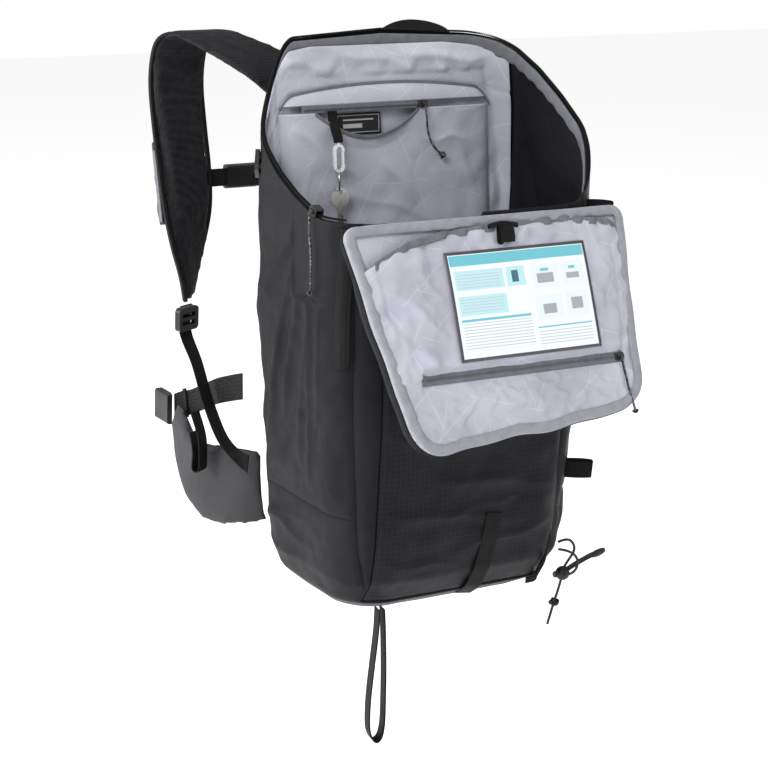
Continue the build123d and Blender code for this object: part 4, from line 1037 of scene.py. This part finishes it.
# ------------------------------------------------------------------------- safety card
# A laminated card with drawings for a rescue is sewn to the pocket inside a dark border.
card_paint, card_tree, card_shader, card_where = new_material("printed_card")
cx, cy = split_axes(card_tree, card_where["UV"])
smudge = pattern(card_tree, marks, card_where["Object"])
paper = over(card_tree, math_node(card_tree, "MULTIPLY", smudge["Cloud"], 0.3), (0.74, 0.77, 0.79),
             (0.62, 0.68, 0.71))
CYAN, PALE, PANEL, NAVY = (0.12, 0.44, 0.52), (0.42, 0.66, 0.71), (0.66, 0.72, 0.74), (0.03, 0.12, 0.16)
GREY_INK, ROW_INK, BORDER = (0.30, 0.33, 0.35), (0.45, 0.49, 0.51), (0.045, 0.048, 0.055)
for x0, x1, y0, y1, ink_colour in (
        (4, 168, 97, 108, CYAN), (7, 66, 72, 92, PALE), (7, 66, 46, 66, PALE), (70, 92, 72, 92, PALE),
        (100, 132, 66, 92, PANEL), (136, 164, 66, 92, PANEL), (100, 132, 34, 60, PANEL), (136, 164, 34, 60, PANEL),
        (7, 92, 40, 42.5, CYAN), (98, 165, 26, 27.5, CYAN), (76, 84, 76, 88, NAVY), (106, 126, 72, 82, GREY_INK),
        (142, 158, 74, 80, GREY_INK), (108, 124, 40, 50, GREY_INK), (143, 157, 42, 54, GREY_INK),
        (111, 121, 84, 87, CYAN), (146, 154, 84, 87, CYAN)):
    paper = over(card_tree, inside(card_tree, cx, cy, x0, x1, y0, y1), paper, ink_colour)
rows = math_node(card_tree, "FRACT", math_node(card_tree, "DIVIDE", cy, 3.1))
rows = math_node(card_tree, "LESS_THAN", rows, 0.3)
for field in ((8, 92, 10, 38), (98, 164, 8, 24), (9, 62, 74, 90), (9, 62, 48, 64)):
    printed = math_node(card_tree, "MULTIPLY", rows, inside(card_tree, cx, cy, *field))
    paper = over(card_tree, printed, paper, ROW_INK)
rim_mask = math_node(card_tree, "SUBTRACT", 1.0, inside(card_tree, cx, cy, 3.2, 168.8, 3.2, 108.8))
card_tree.links.new(over(card_tree, rim_mask, paper, BORDER), card_shader.inputs["Base Color"])
uneven_rough(card_tree, card_shader, smudge["Fine"], 0.2, 0.38)
CARD_X, CARD_Y, CARD_WIDE, CARD_TALL = -60, -148, 172, 112


def card_place(u, v):
    x, y = CARD_X + CARD_WIDE * u, CARD_Y + CARD_TALL * v
    return x, y, smooth_puff(x, y) + 2.4 + 0.7 * math.sin(x / 24 + y / 40)


card = lay_on_lid("rescue_card", 50, 34, card_place, 0.6, (card_paint,), closed=False)
for loop in card.data.uv_layers[0].data:
    loop.uv = (loop.uv[0] - CARD_X, loop.uv[1] - CARD_Y)
body_part("rescue_card", "safety_card", [card], "lid")


# ----------------------------------------------------------------------- lid hook loop
# A short loop of webbing with a moulded hook at the pocket's edge ties down the lid's load.
loop_line = [(-35, 3.4), (-24, 5.2), (-15, 7.4), (-13.6, 10.6), (-17, 12.4), (-26, 12.6), (-31, 11)]
loop_web = ribbon("hook_web", [(*on_lid(18, y, z), 1, 0, 0, 17) for y, z in loop_line], 1.6, black_web, 5)
hook_bar = ribbon("hook_bar", [(*on_lid(x, -13 + 2 * math.sin(x / 9), 9.5), *UP_LID, 5) for x in range(-2, 40, 6)],
                  3.2, black_web, 4)
body_part("lid_tie_hook", "lid_hook_loop", [loop_web, hook_bar], "lid")


# ----------------------------------------------------------------- shoulder straps
# Each strap is moulded foam between a smooth outer cloth and a spacer mesh, sewn shut
# along both edges: thick in the middle and pinched to a piped seam at the sides.
def mesh_cloth(name, dark, light, pitch, rough=0.7):
    """Knitted spacer mesh: closely set small round holes."""
    cloth, tree, shader, where = new_material(name)
    holes = pattern(tree, "ShaderNodeTexVoronoi", where["Object"], Scale=1000 / pitch, Randomness=0.12)["Distance"]
    rubbed = pattern(tree, marks, where["Object"])
    shade = math_node(tree, "MULTIPLY_ADD", holes, 0.7, math_node(tree, "MULTIPLY", rubbed["Fine"], 0.6))
    two_tones(tree, shader, shade, 0.3, dark, 0.85, light)
    uneven_rough(tree, shader, rubbed["Cloud"], 0.2, rough)
    shader.inputs["Specular IOR Level"].default_value = 0.12
    relief(tree, holes, 0.0006, 0.7, shader)
    return cloth


strap_mesh = mesh_cloth("strap_mesh", (0.003, 0.003, 0.0035), (0.020, 0.020, 0.023), 2.6)
fin_cloth = cloth_material("fin_cloth", (0.012, 0.012, 0.014), (0.030, 0.031, 0.035), 0.55, pitch=0.001, grid=0.004,
                           depth=0.2, on_uv=False, gloss=0.25)


SWELL = {"quality": 5, "mass": 0.3, "tension_stiffness": 15, "compression_stiffness": 12, "bending_stiffness": 2.0,
         "use_pressure": True, "uniform_pressure_force": 4}
SWELL_FRAMES = 20


def padded_from(name, node, body, voxel, thin, cap, finish):
    """A padded piece: the CAD solid's shape, thinned by thin mm, then swelled as cloth by at most cap mm."""
    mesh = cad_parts[node].data.copy()
    mesh.materials.clear()
    mesh.materials.append(finish)
    piece = bpy.data.objects.new(name, mesh)
    bpy.context.collection.objects.link(piece)
    close_seam(piece)
    select_only(piece)
    grid = piece.modifiers.new("even", "REMESH")
    grid.mode = "VOXEL"
    grid.voxel_size = voxel / 1000
    bpy.ops.object.modifier_apply(modifier="even")
    for _ in range(2):
        smooth = piece.modifiers.new("soft", "SMOOTH")
        smooth.factor, smooth.iterations = 0.5, 3
        bpy.ops.object.modifier_apply(modifier="soft")
    normals = [v.normal.copy() for v in piece.data.vertices]
    for vertex, normal in zip(piece.data.vertices, normals):
        vertex.co -= normal * thin / 1000
    start = [v.co.copy() for v in piece.data.vertices]
    cloth = piece.modifiers.new("swell", "CLOTH")
    for setting, value in SWELL.items():
        setattr(cloth.settings, setting, value)
    cloth.settings.effector_weights.gravity = 0
    cloth.point_cache.frame_start, cloth.point_cache.frame_end = 1, SWELL_FRAMES
    for step in range(1, SWELL_FRAMES + 1):
        bpy.context.scene.frame_set(step)
    shaped = piece.evaluated_get(bpy.context.evaluated_depsgraph_get())
    swelled = [v.co.copy() for v in shaped.data.vertices]
    piece.modifiers.remove(cloth)
    bpy.context.scene.frame_set(1)
    for vertex, low, high in zip(piece.data.vertices, start, swelled):
        move = high - low
        vertex.co = low + move * min(1, cap / 1000 / max(move.length, 1e-9))
    finer = piece.modifiers.new("round", "SUBSURF")
    finer.levels = finer.render_levels = 1
    bpy.ops.object.modifier_apply(modifier="round")
    bpy.ops.object.shade_smooth()
    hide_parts(node)
    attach(piece, body)


STRAP_LINE = [  # x, y, z, which way its width runs in x and y, width
    (-66, 121, 452, 1, 0, 60), (-74, 122, 492, 1, 0, 62), (-96, 127, 530, 1, 0, 64), (-122, 144, 552, 1, 0, 66),
    (-141, 166, 564, 1, 0, 66), (-154, 192, 573, 1, 0, 67), (-162, 216, 575, 1, 0, 68), (-165, 240, 565, 1, 0, 68),
    (-165, 254, 544, 1, 0, 68), (-165, 258, 511, 1, 0, 68), (-165, 248, 466, 1, 0.04, 69),
    (-165, 235, 421, 1, 0.1, 70), (-165, 226, 380, 1, 0.22, 69), (-165, 223, 342, 1, 0.5, 64),
    (-165, 223, 306, 1, 0.9, 48), (-165, 224.5, 276, 1, 1.3, 27)]
SLACK = {4: 12, 5: 22, 6: 26, 7: 22, 8: 12, 9: 4}      # the right strap has slipped down over its top


def edge_piping(side):
    """A narrow bound seam down both edges of a strap."""
    parts = []
    for edge in (-1, 1):
        line = []
        for index, (x, y, z, ax, ay, width) in enumerate(STRAP_LINE):
            across = Vector((ax, ay, 0)).normalized() * edge * (width / 2 - 3.4)
            drop = SLACK.get(index, 0) if side > 0 else 0
            line.append((-side * (x + across.x), y + across.y, z - drop, 0.05, 1, 0.1, 6.4))
        parts.append(ribbon("strap_piping", line, 4.2, black_web, 4, 4))
    return parts


for word, side in (("left", -1), ("right", 1)):
    padded_from("strap_%s_pad" % word, "shoulder_strap_" + word, "pack", 4.5, 1.6, 5, strap_mesh)
    body_part("strap_%s_piping" % word, None, edge_piping(side))


# -------------------------------------------------------------- back pad and hip fins
# The back pad is moulded foam under spacer mesh with air channels. The fins are thinner
# foam in smooth cloth; a wide stabiliser band runs from each fin's tip to the pack.
padded_from("back_pad_foam", "back_pad", "pack", 6, 1.0, 4, strap_mesh)
for word, side in (("left", -1), ("right", 1)):
    padded_from("fin_%s_pad" % word, "hip_fin_" + word, "hip_" + word, 5, 1.6, 5, fin_cloth)
    line = [(side * x, y, z, 0, 0.05, 1, 30) for x, y, z in
            ((140.5, 304, 127), (140, 283, 136), (140, 262, 143), (141.5, 226, 159), (144, 190, 175),
             (146.5, 154, 188), (149, 118, 200))]
    keeper_line = [(side * x, y, z, 0, 0.25, 1, 34) for x, y, z in ((141.6, 276, 138), (142.2, 268, 141))]
    body_part("stabiliser_" + word, "hip_webbing_" + word, [
        ribbon("stabiliser_" + word, line, 1.7, black_web, 5, 8),
        ribbon("keeper", keeper_line, 2.6, black_web, 3, 4)], "hip_" + word)


# --------------------------------------------------- strap webbing and sternum strap
# 20 mm webbing threads the ladder locks: one leg runs to the pack's foot, the loose tail
# hangs with its end folded back. The sternum strap clips across the chest.
def mirrored_line(line, side):
    """The left strap's line as it runs on the given side."""
    return [(-side * x, y, z, -side * ax, ay, az, w) for x, y, z, ax, ay, az, w in line]


WEB_LINE = [(-163.2, 231, 268, 1, 0.45, 0, 20), (-163.4, 231.4, 237, 1, 0.45, 0, 20),
            (-161, 206, 206, 1, 0.55, 0, 20), (-159, 182, 168, 1, 0.55, 0, 20), (-157, 150, 134, 1, 0.55, 0, 20),
            (-152, 122, 119, 0.7, 0.8, 0.6, 20), (-147, 104.5, 114, 0.3, 0.4, 1, 20)]
TAIL = [(12, 157), (2, 130), (0, 106), (1, 92), (6, 89), (9.5, 94), (9, 112), (13, 134)]
TAIL_LINE = [(-169 - 0.48 * a, 172 + 0.877 * a, b, 0.877, 0.48, 0, 16) for a, b in TAIL]
strap_parts = [ribbon(name, mirrored_line(line, side), 1.5, black_web, 6)
               for side in (-1, 1) for name, line in (("leg", WEB_LINE), ("tail", TAIL_LINE))]
CHEST_Y, CHEST_Z = 244.2, 408
strap_parts.append(ribbon("chest_left", [(x, CHEST_Y, CHEST_Z, 0, 0, 1, 20) for x in (-150, -126, -103)], 1.6,
                          black_web, 4))
body_part("strap_webbing_runs", "strap_webbing", strap_parts)
chest_line = [(x, CHEST_Y, CHEST_Z + sag, 0, 0, 1, 20)
              for x, sag in ((-62, 0), (-20, -1.2), (30, -2.0), (80, -1.2), (130, 0))]
body_part("chest_right", "sternum_strap_right", [ribbon("chest_right", chest_line, 1.6, black_web, 8)],
          "sternum_right")


# ------------------------------------------------------------------ trigger's pocket
# The grip that fires the airbag is kept in a stretchy sleeve on the left strap's outer
# edge, closed by a fine zip; the zip's light grey tape is painted highlight, standing in for the glints along its
# teeth.
SLEEVE_TILT, SLEEVE_CAP = math.radians(-12.4), 0.86      # the cap starts at this share of its height


def on_sleeve(x, y, z):
    return (-177 + x, 249 + y * math.cos(SLEEVE_TILT) - z * math.sin(SLEEVE_TILT),
            402 + y * math.sin(SLEEVE_TILT) + z * math.cos(SLEEVE_TILT))


def sleeve_place(u, v):
    turn = u * math.tau
    tall = min(1, v / SLEEVE_CAP)
    cap = max(0, (v - SLEEVE_CAP) / (1 - SLEEVE_CAP))
    size = math.cos(cap * math.pi / 2) ** 0.8 if cap else 1
    cosine, sine = math.cos(turn), math.sin(turn)
    x = math.copysign(abs(cosine) ** 0.55, cosine) * 14.2 * size
    y = math.copysign(abs(sine) ** 0.55, sine) * 8.7 * size
    pinch = 1 - 0.05 * math.cos(v * 19)
    return at(*on_sleeve(x * pinch, y * pinch, -43 + 90 * tall + 5.5 * math.sin(cap * math.pi / 2)))


sleeve = sheet_from("trigger_sleeve", 48, 60, sleeve_place, 0, (82, 96), (fin_cloth,))
close_seam(sleeve)
thicken(sleeve, 1.2, -1)
# painted highlight: the zip is drawn in light grey tape where its teeth glint
sleeve_zip_glint = ribbon("sleeve_zip_glint", [(*on_sleeve(-14.9, -2 + 2 * math.sin(z / 40), z), 0, 1, 0, 7)
                                   for z in range(-40, 46, 8)], 1.6, grey_tape_and_glint, 3, 4)
body_part("trigger_sleeve", "trigger_pocket", [sleeve, sleeve_zip_glint])


# ---------------------------------------------------------- haul loop and ice-axe loop
# The haul loop arches over the back of the mouth; the ice-axe loop is a long thin loop
# bar-tacked under the base's left front corner, its two strands a little apart.
HAUL = [(-4, 104.5, 548, 1, 0, 0.6, 20), (0, 107, 566, 0.7, 0.5, 0.6, 20), (12, 112, 576, 0, 0.6, 0.8, 20),
        (32, 117, 583, 0, 0.6, 0.8, 20), (54, 119, 585, 0, 0.6, 0.8, 20), (78, 117, 582, 0, 0.6, 0.8, 20),
        (96, 112, 575, 0, 0.6, 0.8, 20), (108, 107, 565, -0.7, 0.5, 0.6, 20), (112, 104.5, 548, -1, 0, 0.6, 20)]
body_part("haul_loop_web", "haul_loop", [ribbon("haul", HAUL, 2.2, black_web, 8, 6)])

AXE_LINE = [(-3.3, 2), (-4.7, -24), (-7.7, -62), (-9.9, -100), (-10.4, -128), (-7.6, -141), (-2, -147.8),
            (4.3, -144), (7.7, -130), (8.5, -104), (6.9, -66), (4.3, -30), (2.7, 2)]
axe_route = [(-101 + x, -109 + 1.2 * math.sin(z / 21), 10 + z, 0.18, 1, 0, 15) for x, z in AXE_LINE]
body_part("axe_loop_web", "ice_axe_loop", [ribbon("axe_loop_web", axe_route, 1.7, black_web, 6, 6)],
          "axe_loop")


# ------------------------------------------------------------------------- pull cords
# Every slider has a braided pull: thin black cord with light flecks, knotted at its end.
def braid_material(name, dark, fleck):
    """Round braid: crossing strands in relief, with one light strand here and there."""
    braid, tree, shader, where = new_material(name)
    strands = pattern(tree, "ShaderNodeTexVoronoi", where["Object"], Scale=900)
    chosen = tree.nodes.new("ShaderNodeSeparateColor")
    tree.links.new(strands["Color"], chosen.inputs[0])
    light = math_node(tree, "GREATER_THAN", chosen.outputs["Red"], 0.72)
    tree.links.new(over(tree, light, dark, fleck), shader.inputs["Base Color"])
    uneven_rough(tree, shader, strands["Distance"], 0.3, 0.65)
    relief(tree, strands["Distance"], 0.0004, 1, shader)
    return braid


flecked = braid_material("flecked_cord", (0.004, 0.004, 0.005), (0.16, 0.16, 0.17))
plain_braid = braid_material("elastic_braid", (0.003, 0.003, 0.004), (0.02, 0.02, 0.023))


def laid_cord(name, route, diameter, body, finish, node=None):
    """A cord on one smooth spline whose control points are the route; all sizes in millimetres."""
    curve = bpy.data.curves.new(name, "CURVE")
    curve.dimensions = "3D"
    spline = curve.splines.new("NURBS")
    spline.points.add(len(route) - 1)
    for point, place in zip(spline.points, route):
        point.co = (*at(*place), 1)
    spline.order_u, spline.use_endpoint_u, spline.resolution_u = 3, True, 10
    curve.bevel_depth, curve.bevel_resolution, curve.use_fill_caps = diameter / 2000, 4, True
    curve.materials.append(finish)
    piece = bpy.data.objects.new(name, curve)
    bpy.context.collection.objects.link(piece)
    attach(piece, body)
    if node:
        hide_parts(node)
    tuple(at(*route[0]))


KNOT_STEPS, KNOT_SIDES = 40, 8


def knot(name, place, along, size, body, finish):
    """An overhand knot: a small tube wound on itself round the cord's end."""
    along = Vector(along).normalized()
    side = along.orthogonal().normalized()
    third = along.cross(side)
    points = []
    for step in range(KNOT_STEPS + 1):
        turn = math.tau * step / KNOT_STEPS
        wide = 1.5 + 0.8 * math.cos(3 * turn)
        out = side * (wide * math.cos(2 * turn)) + third * (wide * math.sin(2 * turn))
        points.append(Vector(place) + (out + along * 1.3 * math.sin(3 * turn)) * size)
    faces, verts = [], []
    for index in range(KNOT_STEPS):
        ahead = (points[(index + 1) % KNOT_STEPS] - points[index - 1]).normalized()
        up = ahead.orthogonal().normalized()
        across = ahead.cross(up)
        a, b = index * KNOT_SIDES, ((index + 1) % KNOT_STEPS) * KNOT_SIDES
        for k in range(KNOT_SIDES):
            turn, beside = math.tau * k / KNOT_SIDES, (k + 1) % KNOT_SIDES
            verts.append(at(*(points[index] + (up * math.cos(turn) + across * math.sin(turn)) * size * 0.95)))
            faces.append((a + k, a + beside, b + beside, b + k))
    tied = mesh_piece(name, verts, faces, finish)
    select_only(tied)
    bpy.ops.object.shade_smooth()
    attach(tied, body)
    return tied


RIM_PULL = [(-170.6, -60, 429), (-171.6, -61.4, 415), (-171.2, -64, 399), (-170.6, -65.6, 383),
            (-170.2, -65.4, 366), (-170, -64.6, 348)]
rim_knot = knot("rim_pull_knot", (-170.4, -64.6, 347), (0, 0, 1), 1.1, "rim_slider", flecked)
laid_cord("rim_pull_cord", RIM_PULL, 2.4, "rim_slider", flecked, "rim_pull_left")
LID_PULL = [on_lid(*p) for p in ((139, -160, 4.7), (140, -171, 3.6), (141.6, -183, 3.2), (142.2, -195, 3.3),
                                 (144.6, -207, 3.2), (146, -219, 3.4))]
lid_knot = knot("lid_pull_knot", LID_PULL[-1], (0, 0, 1), 1.1, "lid_zip_slider", flecked)
laid_cord("lid_pull_cord", LID_PULL, 2.4, "lid_zip_slider", flecked, "lid_pocket_pull")
ORG_PULL = [leaning(*p) for p in ((41, 46.2, 508), (42.2, 44.6, 497), (41.6, 43.8, 483), (45, 44.4, 470),
                                  (52, 44.8, 459), (61, 44.6, 452))]
organiser_knot = knot("organiser_pull_knot", ORG_PULL[-1], (1, 0, -1), 1.4, "organiser_runner", flecked)
laid_cord("organiser_pull_cord", ORG_PULL, 2.4, "organiser_runner", flecked, "organiser_pull")
TIP = [(134.5, -94, 44), (143, -99, 49), (151, -101, 43), (154, -100, 33), (150.5, -95, 22), (146, -92, 12),
       (145, -90, -2), (142.5, -88.5, -16), (138, -88, -30), (134, -88, -44), (131, -88, -54)]
tip_knot = knot("tip_cord_knot", (138.5, -88, -29), (0.2, 0, 1), 2.0, "pack", plain_braid)
laid_cord("tip_elastic", TIP, 3.0, "pack", plain_braid, "tip_cord")
LOOP = [(135, -95, 36), (146, -102, 35), (157, -104, 24), (157, -101, 10), (151, -95, 3), (146.5, -91.5, 2)]
laid_cord("tip_elastic_loop", LOOP, 3.0, "pack", plain_braid)


# ------------------------------------------------------------------- elastic cord's end
# The doubled tail is pressed into one flat moulded end that is easy to grip in gloves.
def tail_end_place(u, v):
    turn = u * math.tau
    grow = math.sin(min(1, max(0.02, v)) * math.pi) ** 0.35
    point = Vector((178, -97.2, 22)) + Vector((20, -0.6, 5)) * v + Vector((0, 2.6 * math.cos(turn) * grow, 0))
    return at(*(point + Vector((-0.2, 0, 1)) * 4.2 * math.sin(turn) * grow))


tail_end = sheet_from("tip_tail_end", 20, 16, tail_end_place, 0, (1, 1))
close_seam(tail_end)
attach(tail_end, "pack")
for index, lift in enumerate((0, 3.4)):
    tail_route = [(150, -92, 7 + lift), (158, -94, 12 + lift), (168, -96, 17 + lift), (178, -97, 21 + lift),
                  (186, -97.5, 23 + lift)]
    laid_cord("tip_tail_%d" % index, tail_route, 3.0, "pack", plain_braid)


# ----------------------------------------------------------------- moulded hardware
# Buckles, ladder locks and cord locks are moulded acetal: fine matt grain, with the
# edges rubbed a little paler. Sliders are lacquered zinc, the key is steel.
def solid_finish(name, dark, light, rough, metal=0.0, grain=900, depth=0.25):
    """Moulded or cast surface: two tones, fine grain and faint scuffs."""
    finish, tree, shader, where = new_material(name)
    rubbed = pattern(tree, marks, where["Object"], Size=40)
    pits = pattern(tree, "ShaderNodeTexNoise", where["Object"], Scale=grain)["Fac"]
    edge = tree.nodes.new("ShaderNodeNewGeometry").outputs["Pointiness"]
    worn = math_node(tree, "MULTIPLY_ADD", edge, 1.6, -0.75)
    two_tones(tree, shader, math_node(tree, "ADD", worn, rubbed["Fine"]), 0.3, dark, 0.9, light)
    uneven_rough(tree, shader, rubbed["Cloud"], 0.3, rough)
    shader.inputs["Metallic"].default_value = metal
    shader.inputs["Specular IOR Level"].default_value = 0.3
    relief(tree, pits, 0.0001, depth, shader)
    return finish


acetal = solid_finish("black_acetal", (0.004, 0.004, 0.005), (0.016, 0.016, 0.018), 0.42)
lacquer = solid_finish("black_lacquer", (0.004, 0.004, 0.004), (0.03, 0.03, 0.03), 0.32, 0.3)
white_alloy = solid_finish("white_alloy", (0.55, 0.56, 0.57), (0.78, 0.79, 0.80), 0.35, 0.2)
steel = solid_finish("bright_steel", (0.38, 0.38, 0.37), (0.62, 0.62, 0.60), 0.3, 1.0, 300, 0.4)
stay_metal = solid_finish("stay_alloy", (0.42, 0.43, 0.44), (0.6, 0.6, 0.61), 0.4, 1.0, 500)
sheet_plastic = solid_finish("frame_sheet_plastic", (0.02, 0.02, 0.022), (0.05, 0.05, 0.055), 0.5)
bag_cloth = cloth_material("folded_bag_cloth", (0.5, 0.11, 0.02), (0.75, 0.2, 0.03), 0.5, pitch=0.001, grid=0.006,
                           grid_light=0.2, depth=0.3, on_uv=False)
cylinder_paint = solid_finish("cartridge_paint", (0.30, 0.31, 0.32), (0.45, 0.46, 0.47), 0.35, 0.6, 500)
grip_plastic = solid_finish("grip_plastic", (0.30, 0.02, 0.01), (0.5, 0.05, 0.02), 0.45)
tail_end.data.materials.append(acetal)
for nodes, finish in (
        (("ladder_locks", "sternum_buckle_female", "sternum_buckle_male", "hip_buckle_female", "hip_buckle_male",
          "compression_buckle", "cord_lock_body", "cord_lock_plunger", "inflator_body", "trigger_cable"), acetal),
        (("organiser_slider", "lid_pocket_slider", "rim_slider_left"), lacquer),
        (("key_clip", "key_clip_gate"), white_alloy), (("key_ring", "key"), steel), (("frame_stays",), stay_metal),
        (("frame_sheet",), sheet_plastic), (("airbag_pack",), bag_cloth), (("gas_cartridge",), cylinder_paint),
        (("trigger_handle",), grip_plastic)):
    for node in nodes:
        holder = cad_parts[node]
        if not holder.material_slots:
            holder.data.materials.append(finish)
        for place in holder.material_slots:
            place.material = finish

# the key's own strap: a short doubled webbing with a stitched end
key_line = [(*leaning(-72, y, z), 1, 0, 0, width) for y, z, width in
            ((51, 506, 11), (50.4, 498, 11), (45, 486, 11), (40.5, 477, 11), (40, 472.8, 10))]
body_part("key_webbing", "key_strap", [ribbon("key_web", key_line, 2.0, black_web, 6, 6)])


# ------------------------------------------------------------------------- closing up
bpy.context.view_layer.update()
